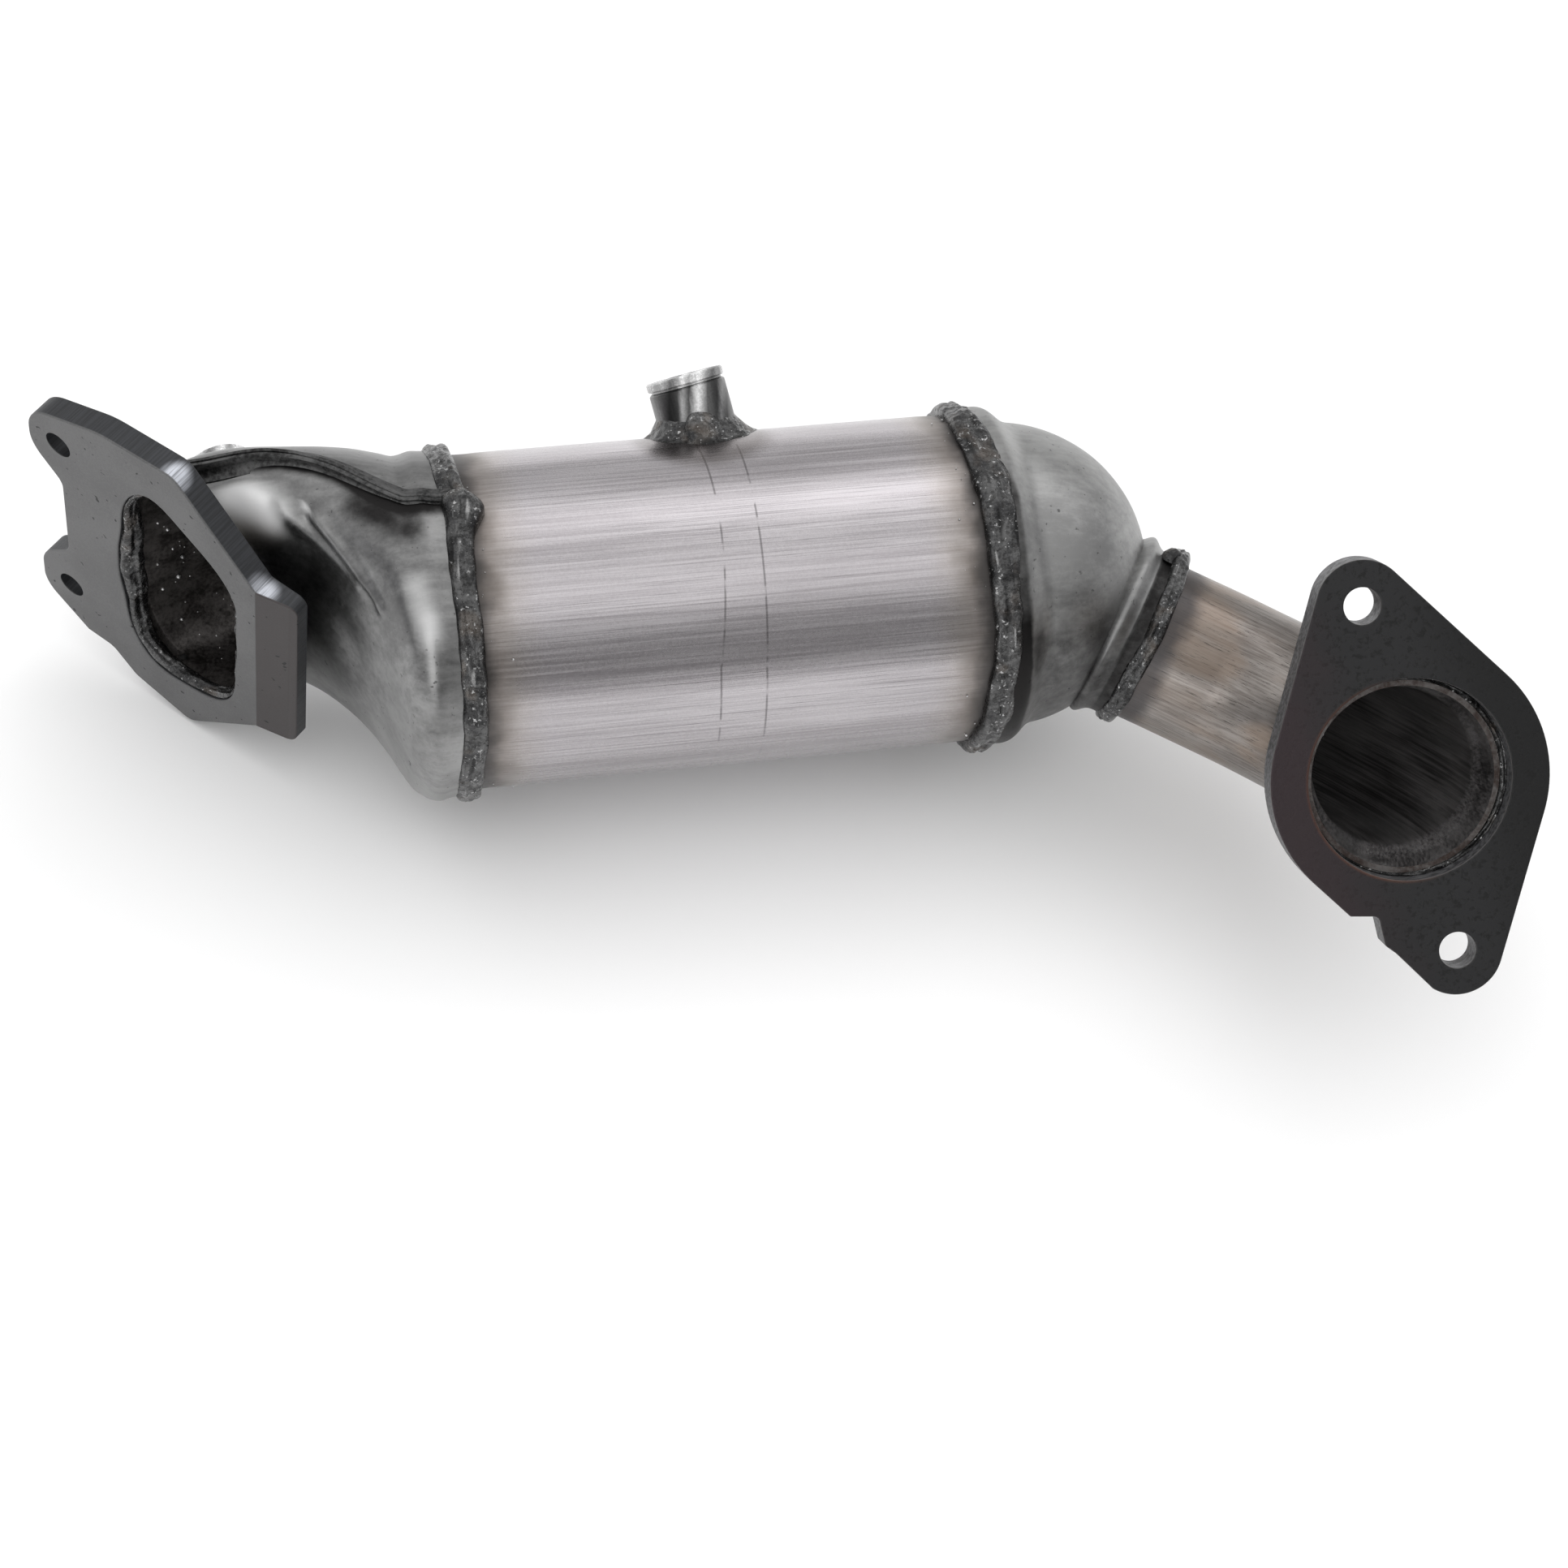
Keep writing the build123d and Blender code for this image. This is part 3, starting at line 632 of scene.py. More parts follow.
def pipe_steel(name, tones, wear, metallic):
    """Bent tube: streaks that follow its bend, brown and straw tint, dark band by the weld."""
    dark, light, tint = tones
    f = Finish(name)
    p = f.place()
    run, turn_side, deep = f.within(p, PIPE)
    back = (LEAD - run).high(0.0)
    off_x = (run - LEAD).high(0.0)
    off_y = BEND_R - turn_side
    reach = (off_x * off_x + off_y * off_y) ** 0.5
    swing = off_x.math("ARCTAN2", off_y) * BEND_R - back
    route = f.joined(swing, reach, deep)
    brush = f.streaks(route, (0.04, 1.5, 1.5), 5, 0.7)
    hair = f.streaks(route, (0.10, 2.6, 2.6), 4, 0.75)
    cloudy = f.streaks(route, (0.03, 0.07, 0.07), 3, 0.5)
    tone = f.ease(brush * 0.55 + cloudy * 0.45, 0.36, 0.64)
    colour = f.blend(tone, dark, light)
    warm = f.ease(f.streaks(route, (0.02, 0.06, 0.06), 2), 0.45, 0.62)
    colour = f.blend(warm * 0.5, colour, tint)
    scratch = f.ease(hair, 0.57, 0.66) * wear
    colour = f.blend(scratch, colour, (0.03, 0.027, 0.025))
    edge = swing + LEAD - 5 + (f.cloud(p, 0.12, 3) - 0.5) * 7
    soot = f.ease(edge, 2, 9, 1, 0)
    colour = f.blend(soot * 0.85, colour, (0.075, 0.072, 0.075))
    rough = 0.32 + (brush - 0.5) * 0.2 + soot * 0.1 + scratch * 0.15
    return f.surface(colour, rough, metallic, brush * 0.7 + hair * 0.3 - scratch * 0.4, 0.22, 0.00025)


def inlet_plate_steel():
    """Inlet plate: flat grey faces, the thinned lip darker with painted shade and a reddish tint, darker cut
    edges with bright rubbed corners.
    """
    f = Finish("ground_plate_steel")
    p = f.place()
    u, v, w = f.within(p, INLET)
    fine = f.cloud(p, 1.6, 4, 0.6)
    cloudy = f.cloud(p, 0.05, 3)
    specks = f.ease(f.cloud(p, 0.42, 1, 0.4), 0.71, 0.75)
    face = f.ease(w - (v - LIP_FROM).high(0.0) * 0.2273, 0.25, 0.7, 1, 0)
    tone = f.ease(fine * 0.6 + cloudy * 0.4, 0.4, 0.6)
    front = f.blend(tone, (0.110, 0.110, 0.111), (0.145, 0.145, 0.146))
    # Painted shade on the thinned lip's tilted face, with a reddish tint
    lip = f.ease(v, 73.4, 73.9)
    front = f.blend(lip * 0.9, front, (0.056, 0.049, 0.049))
    lines = f.streaks(f.joined(u, v, w), (1.6, 1.6, 0.06), 3)
    side = f.blend(f.ease(lines, 0.30, 0.70), (0.033, 0.034, 0.036), (0.050, 0.052, 0.057))
    rub = f.ease(f.distance(p, (35.0, -32.0, 58.0)), 2.5, 6.5, 1, 0)
    corners = (((56.5, -52.0, 27.5), 2.0, 6, 0.9), ((66.5, -62.0, 26.5), 1.5, 5, 0.7))
    for corner, core, reach, amount in corners:
        rub = rub.high(f.ease(f.distance(p, corner), core, reach, amount, 0))
    side = f.blend(rub * f.ease(lines, 0.3, 0.6, 0.4, 1), side, (0.55, 0.57, 0.62))
    colour = f.blend(face, side, front)
    colour = f.blend(specks * face, colour, (0.02, 0.02, 0.02))
    rough = 0.52 + (fine - 0.5) * 0.2 - rub * (1 - face) * 0.2
    height = fine * face * 0.5 + lines * (1 - face) - specks * face
    return f.surface(colour, rough, 0.55, height, 0.25, 0.0002)


def outlet_plate_steel():
    """Outlet plate: black mill scale, mottled, browned on one side and round the bore."""
    f = Finish("scaled_plate_steel")
    p = f.place()
    u, v, w = f.within(p, OUTLET)
    fine = f.cloud(p, 1.5, 4, 0.62)
    flake = f.ease(f.cloud(p, 0.5, 5, 0.7), 0.50, 0.62)
    colour = f.blend(flake, (0.021, 0.021, 0.022), (0.010, 0.010, 0.010))
    brown = f.ease(v + (f.cloud(p, 0.06, 3) - 0.5) * 20, 6, 34)
    colour = f.blend(brown * 0.75, colour, (0.034, 0.022, 0.025))
    colour = f.blend(f.ease(v, -32, -6, 0.7, 0), colour, (0.007, 0.007, 0.007))
    rim = f.ease(f.distance(f.joined(u, v), (0, 0, 0)), BORE_R, BORE_R + 1.2, 1, 0)
    rim = rim * f.ease(v, -6, 16)
    colour = f.blend(rim * 0.6, colour, (0.10, 0.040, 0.022))
    side = f.ease(w, -0.9, -0.35, 1, 0)
    lines = f.streaks(p, (0.25, 0.9, 0.9), 3)
    edge = f.blend(f.ease(lines, 0.35, 0.65), (0.05, 0.05, 0.053), (0.16, 0.16, 0.165))
    colour = f.blend(side, colour, edge)
    bright = f.ease(w, -0.9, -0.45) * f.ease(w, -0.3, -0.08, 1, 0)
    colour = f.blend(bright * 0.6, colour, (0.22, 0.21, 0.21))
    rough = 0.46 + (fine - 0.5) * 0.25 + flake * 0.1
    return f.surface(colour, rough, 0.45, fine * 0.5 - flake * 0.6, 0.3, 0.0002)


def weld_metal(name, dark, light):
    """Weld metal: dark, glassy in places, with oxide tints, a fine crust, painted shade from its points and
    painted glints.
    """
    f = Finish(name)
    p = f.place()
    fine = f.cloud(p, 1.2, 4, 0.65)
    patch = f.cloud(p, 0.16, 3, 0.6)
    crust = f.ease(f.cloud(p, 0.7, 3, 0.6), 0.54, 0.66)
    colour = f.blend(f.ease(patch * 0.6 + fine * 0.4, 0.38, 0.62), dark, light)
    colour = f.blend(crust * 0.5, colour, (0.035, 0.033, 0.032))
    warm = f.ease(f.cloud(p, 0.09, 2), 0.55, 0.68)
    colour = f.blend(warm * 0.2, colour, (0.20, 0.15, 0.11))
    # Darkening and painted shade from the darkness stored in the points
    colour = f.blend(f.ease(f.soot(), 0.25, 0.95) * 0.85, colour, (0.012, 0.012, 0.012))
    # Painted glints: light specks from two clouds, and streaks where the stored darkness is below zero
    painted_glint = f.ease(f.cloud(p, 0.85, 3, 0.55), 0.60, 0.67) * f.ease(f.cloud(p, 0.2, 2), 0.45, 0.55)
    painted_glint = painted_glint.high(f.ease(0.0 - f.soot(), 0.45, 0.85) * 0.8)
    colour = f.blend(painted_glint * 0.7, colour, (0.62, 0.62, 0.62))
    rough = 0.22 + (fine - 0.5) * 0.25 + crust * 0.25
    return f.surface(colour, rough, 0.9, fine * 0.6 + patch * 0.6 - crust * 0.3, 0.6, 0.0005)


def turned_steel(name, datum, greys, rough, metallic):
    """Turned boss or plated plug: painted reflections in light and dark bands from left to right, and
    streaks that run along its axis.
    """
    f = Finish(name)
    p = f.place()
    streak = f.streaks(f.joined(*f.within(p, datum)), (0.55, 0.55, 0.06), 4, 0.6)
    fine = f.cloud(p, 1.6, 3, 0.6)
    sideways = (0.9810, -0.1711, 0.0916)  # to the right in the photo
    # Painted reflections: greys laid across the piece from left to right
    across = f.along(p, datum.origin, sideways) / 24.0 + 0.5
    colour = f.ramp(across + (streak - 0.5) * 0.06, greys)
    colour = f.blend(f.ease(streak * 0.6 + fine * 0.4, 0.42, 0.6, 0.35, 0), colour, (0.02, 0.02, 0.02))
    rough = rough + (fine - 0.5) * 0.16 + (streak - 0.5) * 0.1
    return f.surface(colour, rough, metallic, streak * 0.7 + fine * 0.3, 0.2, 0.0002)


# Painted reflections: places across a boss or a plug, from left to right, and the grey at each
STEEL_REFLECTION_GREYS = (
    (0.02, 0.22), (0.13, 0.04), (0.24, 0.06), (0.30, 0.34), (0.38, 0.09), (0.50, 1.0),
    (0.61, 0.14), (0.73, 0.06), (0.79, 0.30), (0.85, 0.09), (0.97, 0.22),
)
ZINC_REFLECTION_GREYS = (
    (0.03, 0.66), (0.14, 0.18), (0.23, 0.30), (0.30, 0.97), (0.38, 0.40), (0.50, 0.99),
    (0.60, 0.36), (0.68, 0.16), (0.76, 0.34), (0.82, 0.95), (0.88, 0.42), (0.97, 0.80),
)


def dull_fill(name, dark, light, scale, rough):
    """Matt ceramic or fibre."""
    f = Finish(name)
    p = f.place()
    fine = f.cloud(p, scale, 5, 0.65)
    patch = f.cloud(p, scale * 0.1, 3)
    colour = f.blend(f.ease(fine * 0.5 + patch * 0.5, 0.35, 0.65), dark, light)
    return f.surface(colour, rough + (fine - 0.5) * 0.1, 0.0, fine, 0.4, 0.0003)


# Forms shared by several pieces


def port_ring(depth, grow, angles):
    """Outline of the port at a depth behind the inlet plate's face, larger by grow."""
    radii = round_radii(PORT_RADII, angles) + grow
    turn = np.radians(angles)
    return INLET.at(PORT_AT[0] + radii * np.cos(turn), PORT_AT[1] + radii * np.sin(turn), depth)


def cone_ring(section, share, angles):
    """One section of the inlet cone: an oval that has a share of the port's form."""
    along, side, lean, half_z, half_y = section
    knots = np.radians(np.array(PORT_ANGLES, float))
    oval = ((np.cos(knots) / half_z) ** 2 + (np.sin(knots) / half_y) ** 2) ** -0.5
    reach = np.minimum(np.array(PORT_RADII) * half_y / PORT_RADII[0], half_z)
    radii = round_radii(share * reach + (1 - share) * oval, angles)
    lean = radians(lean)
    datum = Datum(BODY.origin + np.array((along, side, 0)), (0, 0, 1), (cos(lean), sin(lean), 0))
    return datum.circle(radii, np.radians(angles))


# Place along the body, offset aside, lean, half height and half width, then the share of the port's form
CONE_SECTIONS = (
    ((-50.0, 26.6, 17.2, 48.6, 24.6), 0.3),
    ((-22.5, 9.6, 2.7, 51.2, 44.6), 0.0),
    ((-12.0, 0.0, 0.0, 52.25, 52.25), 0.0),
    ((-6.0, 0.0, 0.0, COLLAR_R, COLLAR_R), 0.0),
    ((0.0, 0.0, 0.0, COLLAR_R, COLLAR_R), 0.0),
)
CONE_STATIONS = (0.0, 51.0, 80.0, 92.0, 98.0, 104.0)  # the port and the sections above, along the cone


def cone_sheet(angles, rows):
    """Outer surface of the inlet cone, at angles for all rows or for each row (rows, columns)."""
    angles = np.broadcast_to(angles, (len(rows), np.shape(angles)[-1]))
    rings = [port_ring(INLET_THICK, -0.2, angles)]
    rings += [cone_ring(section, share, angles) for section, share in CONE_SECTIONS]
    rings = np.array(rings)
    return np.array(
        [smooth_line(CONE_STATIONS, rings[:, i], np.array([row]))[0] for i, row in enumerate(rows)]
    )


def seam_angles(rows, top):
    """Angle at which the parting line crosses each row of the cone."""
    scan = np.linspace(-80, 80, 161) if top else np.linspace(100, 260, 161)
    sheet = cone_sheet(scan, rows)
    aside = smooth_line(SEAM_ALONG, SEAM_ASIDE, sheet[..., 0] - BODY.origin[0])
    off = sheet[..., 1] - BODY.origin[1] - aside
    found = []
    for line in off:
        k = np.where(np.sign(line[:-1]) != np.sign(line[1:]))[0][0]
        found.append(scan[k] + (scan[k + 1] - scan[k]) * line[k] / (line[k] - line[k + 1]))
    return np.array(found)


def low_side(points):
    """How far points lie below the body axis, towards the lower near side."""
    away = points - BODY.origin
    return -0.75 * away[..., 1] - 0.66 * away[..., 2]


def ridges(points, table):
    """Sum of soft ridges, each with its first point, last point, radius and rise."""
    total = 0.0
    for first, last, radius, rise in table:
        total = total + ridge(points, first, last, radius, rise)
    return total


def ridge(points, first, last, radius, rise):
    """Soft ridge along the line between two points."""
    first = np.array(first, float)
    run = np.array(last, float) - first
    share = np.clip((points - first) @ run / (run @ run), 0, 1)
    away = np.linalg.norm(points - first - share[..., None] * run, axis=-1)
    return rise * np.exp(-((away / radius) ** 2) * 1.6)


# Sizes and colours that a user would change


def size_slider(label, about, default, low, high):
    return FloatProperty(
        name=label, description=about, default=default, min=low, max=high, subtype="DISTANCE", unit="LENGTH"
    )


def colour_swatch(label, about, default):
    return FloatVectorProperty(
        name=label, description=about, default=default, subtype="COLOR", size=3, min=0.0, max=1.0
    )


class ConverterSizes(PropertyGroup):
    weld_height: size_slider("Weld height", "Height of the ring welds over the tube", 0.0026, 0.0005, 0.006)
    weld_width: size_slider("Weld width", "Width of the ring welds", 0.0076, 0.003, 0.012)
    ripple: size_slider("Weld ripple", "Distance between the ripples of a weld", 0.0034, 0.001, 0.01)
    seam_height: size_slider("Seam height", "Height of the lips along the cone's seam", 0.0044, 0.001, 0.008)
    edge_bevel: size_slider("Plate edge", "Bevel on the plates' edges", 0.00045, 0.0001, 0.001)
    spatter_count: IntProperty(
        name="Spatter", description="Drops of spatter beside each weld", default=34, min=0, max=200
    )


class ConverterColours(PropertyGroup):
    cone_light: colour_swatch("Cone light", "Lightest grey of the stamped cones", (0.32, 0.32, 0.318))
    cone_dark: colour_swatch("Cone dark", "Darkest grey of the stamped cones", (0.16, 0.16, 0.16))
    weld_light: colour_swatch("Weld light", "Light tone of the weld metal", (0.13, 0.13, 0.13))
    weld_dark: colour_swatch("Weld dark", "Dark tone of the weld metal", (0.04, 0.04, 0.041))
    floor: colour_swatch("Floor", "Colour of the floor", (0.9, 0.9, 0.9))


def sizes():
    return bpy.context.scene.converter_sizes


def colours():
    return bpy.context.scene.converter_colours


def weld_paint():
    made = bpy.data.materials.get("weld_metal")
    return made or weld_metal("weld_metal", tuple(colours().weld_dark), tuple(colours().weld_light))


class CONVERTER_OT_inlet_plate(Operator):
    """Inlet plate with two stud ears, the port and the thinned lip"""

    bl_idname = "converter.inlet_plate"
    bl_label = "Inlet plate"

    def execute(self, context):
        corners = [
            ((18, 0), 6), ((29, INLET_LOW), 13), ((45.5, INLET_LOW), 13), ((57, 16), 30), ((60.2, 43.8), 6),
            ((29.5, LIP_FROM), 1.2), ((29.5, INLET_HIGH), 3.5), ((-45.5, INLET_HIGH), 3.5),
            ((-45.5, LIP_FROM), 0), ((-70.6, 46.6), 5), ((-65.3, 24.5), 5), ((-57.4, 15.5), 5),
            ((-57.4, 5.5), 0), ((-45.5, INLET_LOW), 11), ((-29, INLET_LOW), 13), ((-18, 0), 6),
        ]
        outline = rounded([c for c, _ in corners], [r for _, r in corners])
        angles = np.arange(0, 360, 3.0)
        port = [
            (PORT_AT[0] + r * cos(radians(a)), PORT_AT[1] + r * sin(radians(a)))
            for a, r in zip(angles, round_radii(PORT_RADII, angles))
        ]
        holes = [hole(STUD_AT, STUD_R), hole(-STUD_AT, STUD_R), port]
        mesh = plate_mesh("inlet_plate", outline, holes, INLET_THICK)

        def crease(form):
            everything = form.verts[:] + form.edges[:] + form.faces[:]
            fold = (0, LIP_FROM * MM, 0)
            bmesh.ops.bisect_plane(form, geom=everything, plane_co=fold, plane_no=(0, 1, 0))

        def thinned(v, w):
            depth = w + INLET_THICK / 2
            past = np.clip(v - LIP_FROM, 0, None)
            return depth + (1 - depth / INLET_THICK) * past / LIP_LONG * LIP_DROP

        with_form(mesh, crease)
        lay(mesh, INLET, thinned, inlet_plate_steel(), "inlet_flange")
        return {"FINISHED"}


class CONVERTER_OT_inlet_cone(Operator):
    """Two stamped halves of the inlet cone, with the lips of their seam"""

    bl_idname = "converter.inlet_cone"
    bl_label = "Inlet cone"

    def execute(self, context):
        rows = np.concatenate([np.linspace(0, 92, 93), np.linspace(93, 104, 12)])
        top = seam_angles(rows, True)
        low = seam_angles(rows, False)
        c = colours()
        brown = ((54, -31, 29), 13, (0.25, 0.19, 0.13), 0.4)
        paints = (
            bare_steel("stamped_cone_steel", tuple(c.cone_dark), tuple(c.cone_light), brown),
            smoked_steel("cone_inside", (0.03, 0.027, 0.025), (0.14, 0.13, 0.125)),
            smoked_steel("seam_steel", (0.02, 0.02, 0.02), (0.11, 0.11, 0.11)),
        )
        for name, node, start, end, side in (
            ("cone_front_half", "inlet_front_shell", top, low, -1),
            ("cone_rear_half", "inlet_rear_shell", low, top + 360, 1),
        ):
            outer = self.outer(rows, start, end, side)
            normal = outward(outer, round_v=False)
            inner = outer - normal * WALL
            dark = self.darkness(outer, side)
            shell = grid(np.concatenate([outer, inner[::-1]]), round_u=True, round_v=False, flip=True)
            lips = [self.lip(outer[-len(rows) :], column, rows, side) for column in (0, -1)]
            points, faces = join(shell, *lips)
            soot = np.zeros(len(points))
            soot[: dark.size] = dark.ravel()
            columns = outer.shape[1] - 1
            zones = ((len(outer) * columns - columns, 1), (len(shell[1]), 2))
            mesh = mesh_of(name, points, faces, 40, zones, soot)
            link(name, mesh, paints, node)
        return {"FINISHED"}

    def outer(self, rows, start, end, side):
        """Outer face of one half, from edge to edge of the seam, with its neck inside the plate."""
        angles = start[:, None] + (end - start)[:, None] * np.linspace(0, 1, 121)
        neck = np.array([port_ring(depth, -0.2, angles[0]) for depth in (3.5, 5.0, 6.5)])
        outer = np.concatenate([neck, cone_sheet(angles, rows)])
        normal = outward(outer, round_v=False)
        if side == -1:
            outer = outer + normal * self.pressings(outer)[..., None]
        swell = 0.5 * np.exp(-(((rows - 96.5) / 2.2) ** 2)) - 0.5 * np.exp(-(((rows - 91) / 2.5) ** 2))
        swell = np.concatenate([np.zeros(len(neck)), swell])
        outer = outer + normal * swell[:, None, None]
        return outer + normal * (bumps(outer, 16) * 0.25)[..., None]

    def pressings(self, outer):
        """Ridges and the hollow pressed into the front half."""
        return ridges(outer, (
            ((64.4, -31.6, 36.2), (82.0, -57.0, 31.5), 3.4, 1.2),
            ((73.3, -37.3, 38.6), (89.0, -66.1, 31.9), 2.4, 1.2),
            ((70.5, -36.5, 37.0), (87.2, -64.0, 30.5), 1.6, -0.7),
            ((69.9, -43.1, 24.0), (80.1, -58.4, 10.0), 12.0, -0.9),
        ))

    def darkness(self, outer, side):
        """Darker beside the seam and in one patch; painted shade in the hollow, between the folds and low on
        the near side; below zero, painted highlights.
        """
        steps = np.linalg.norm(np.diff(outer, axis=1), axis=2)
        run = np.concatenate([np.zeros((len(outer), 1)), np.cumsum(steps, axis=1)], axis=1)
        near = np.minimum(run, run[:, -1:] - run)
        if side == 1:
            return 0.55 * np.exp(-((near / 2.2) ** 2))
        dark = 0.95 * np.exp(-((near / 6.0) ** 4))
        dark = dark + ridges(outer, (
            # Painted shade in the hollow, a dark patch above the folds, painted shade between the folds and
            # low on the collar's near side
            ((70.5, -44.5, 22.0), (80.1, -58.4, 12.0), 9.5, 0.50),
            ((85.0, -38.0, 46.0), (98.0, -49.0, 46.5), 8.5, 0.85),
            ((72.0, -32.0, 41.0), (89.0, -66.4, 31.6), 2.2, 0.45),
            ((65.0, -35.0, 33.5), (80.0, -58.0, 27.0), 2.4, 0.25),
            ((101.0, -96.0, 12.0), (101.0, -90.0, -10.0), 12.0, 0.45),
            # Painted highlights along two ridges, by the plate and on the collar
            ((70.5, -32.7, 40.1), (82.4, -51.8, 34.4), 2.0, -0.55),
            ((80.0, -38.5, 40.5), (93.0, -68.0, 34.0), 1.8, -0.35),
            ((51.0, -24.5, 37.0), (60.0, -30.5, 33.5), 10.5, -0.72),
            ((99.0, -66.0, 43.0), (101.0, -79.0, 36.5), 6.5, -0.34),
            ((103.0, -76.0, 38.5), (103.5, -86.0, 29.0), 4.5, -0.14),
        ))
        return np.clip(dark, -1, 1)

    def lip(self, outer, column, rows, side):
        """One half of the standing seam, along an edge of its shell."""
        height = sizes().seam_height / MM
        path = outer[:, column]
        away = np.array((0, 0, 1.0 if path[len(path) // 2][2] > BODY.origin[2] else -1.0))
        run = unit(np.gradient(path, axis=0))
        across = unit(np.cross(away, run))
        across = across * np.sign(across[:, 1:2]) * side
        rise = unit(np.cross(run, across))
        rise = rise * np.sign(rise @ away)[:, None]
        tall = height + (1.5 - height) * soft_step(rows, 40, 98) + bumps(path, 7, 3.0) * 0.25
        section = [path + across * 0.06 - rise * 1.1]
        for off, share in ((0.06, 0.90), (0.35, 1.0), (1.15, 1.0), (1.5, 0.90), (1.6, 0.45), (1.9, 0.22)):
            section.append(path + across * off + rise * (tall * share)[:, None])
        for off, up in ((2.8, 0.05), (4.2, -0.5), (4.2, -1.1)):
            section.append(path + across * off + rise * up)
        return grid(np.array(section).transpose(1, 0, 2), flip=(side == 1) != (away[2] < 0))


class CONVERTER_OT_body(Operator):
    """Body tube between the two ring welds"""

    bl_idname = "converter.body"
    bl_label = "Body tube"

    def execute(self, context):
        along = np.linspace(-9, BODY_LEN + 4.5, 90)
        angle = full_turn(192)
        outer = BODY.circle(BODY_R, angle, along[:, None])
        slow = bumps(outer / np.array((3.0, 1, 1)), 22, 4.0)
        shrink = np.exp(-(((along - 8) / 4.0) ** 2)) + np.exp(-(((along - BODY_LEN + 8) / 4.0) ** 2))
        radius = BODY_R - 0.02 + slow * 0.10 - 0.18 * shrink[:, None]
        outer = BODY.circle(radius, angle, along[:, None])
        inner = BODY.circle(BODY_R - WALL, angle, along[::-1, None])
        points, faces = grid(np.concatenate([outer, inner]), round_u=True, flip=True)
        mesh = mesh_of("body_tube", points, faces)
        link("body_tube", mesh, [body_tube_steel()], "body_shell")
        return {"FINISHED"}


class CONVERTER_OT_outlet_dome(Operator):
    """Outlet dome, its collar and the ring bead pressed into the collar"""

    bl_idname = "converter.outlet_dome"
    bl_label = "Outlet dome"

    def execute(self, context):
        dome, faces = grid(self.dome(), flip=True)
        local = COLLAR.local(dome)
        hidden = (np.hypot(local[:, 0], local[:, 1]) < NECK_BORE) & (local[:, 2] > -25)
        faces = [quad for quad in faces if not all(hidden[n] for n in quad)]
        stops, radii = self.neck_profile()
        neck = COLLAR.circle(radii[:, None], full_turn(160), stops[:, None])
        neck = neck + (bumps(neck, 9, 5.0) * 0.12)[..., None] * unit(neck - COLLAR.origin)
        soot = np.concatenate([self.dome_shade_and_weld_band(dome), self.neck_painted_shade(neck, stops).ravel()])
        points, faces = join((dome, faces), grid(neck, flip=True))
        # Painted shade: a darker tint round the collar, on the lower near part of the dome
        shade = ((318, -68, -11), 36, (0.13, 0.128, 0.128), 0.6)
        paint = bare_steel("dome_steel", (0.27, 0.27, 0.268), (0.44, 0.44, 0.435), shade, 0.44)
        mesh = mesh_of("outlet_dome", points, faces, 50, soot=soot)
        link("outlet_dome", mesh, [paint], "outlet_cone")
        return {"FINISHED"}

    def dome(self):
        """Slip ring over the body, then the shoulder and the dome."""
        rise = DOME_FROM - DOME_AT
        places = np.array((0, 2.5, 5, 7.0, 9.4, 11.6, DOME_FROM))
        radii = (COLLAR_R, COLLAR_R, COLLAR_R, 51.6, 49.5, 47.8, sqrt(DOME_R**2 - rise**2))
        ring = np.linspace(0, DOME_FROM, 24)
        turn = np.linspace(asin(rise / DOME_R), pi / 2 * 0.995, 70)[1:]
        along = np.concatenate([ring, DOME_AT + DOME_R * np.sin(turn)])
        out = np.concatenate([smooth_line(places, radii, ring), DOME_R * np.cos(turn)])
        outer = BODY.circle(out[:, None], full_turn(192), BODY_LEN + along[:, None])
        return outer - outward(outer) * (bumps(outer, 18, 2.0) * 0.22)[..., None]

    def neck_profile(self):
        """Places and radii along the collar, over its pressed ring and back through its bore."""
        ring = [(x, NECK_R + 2.8 * exp(-(((x - 0.8) / 2.7) ** 2))) for x in np.linspace(-6.4, 7.2, 21)]
        mouth = [(8.0, 26.9), (8.8, 27.1), (9.9, 27.15), (9.9, NECK_BORE)]
        bore = [(4.0, NECK_BORE), (NECK_IN, NECK_BORE)]
        return np.array([(NECK_IN, 27.0), *ring, *mouth, *bore]).T

    def dome_shade_and_weld_band(self, points):
        edge = points[:, 0] - (BODY.origin[0] + BODY_LEN) + bumps(points, 8, 6.0) * 0.8
        low = low_side(points)
        level = soft_step(low, -44.0, -30.0)
        beside_weld = 0.70 * (1 - soft_step(edge, 5.0, 7.5)) * (0.4 + 0.6 * level)
        # Painted shade towards the lower near side, and a dark band beside the weld that fades at the top
        return 0.60 * soft_step(low, 2.0, 18.0) + beside_weld

    def neck_painted_shade(self, neck, stops):
        # Painted shade in the grooves on each side of the pressed ring and towards the lower near side
        soot = 0.7 * (1 - soft_step(np.abs(stops + 4.0), 1.0, 3.0)) + 0.85 * soft_step(stops, 4.4, 5.4)
        soot = np.maximum(soot[:, None], 0.7 * soft_step(low_side(neck), 12.0, 28.0))
        return np.clip(soot, 0, 1)


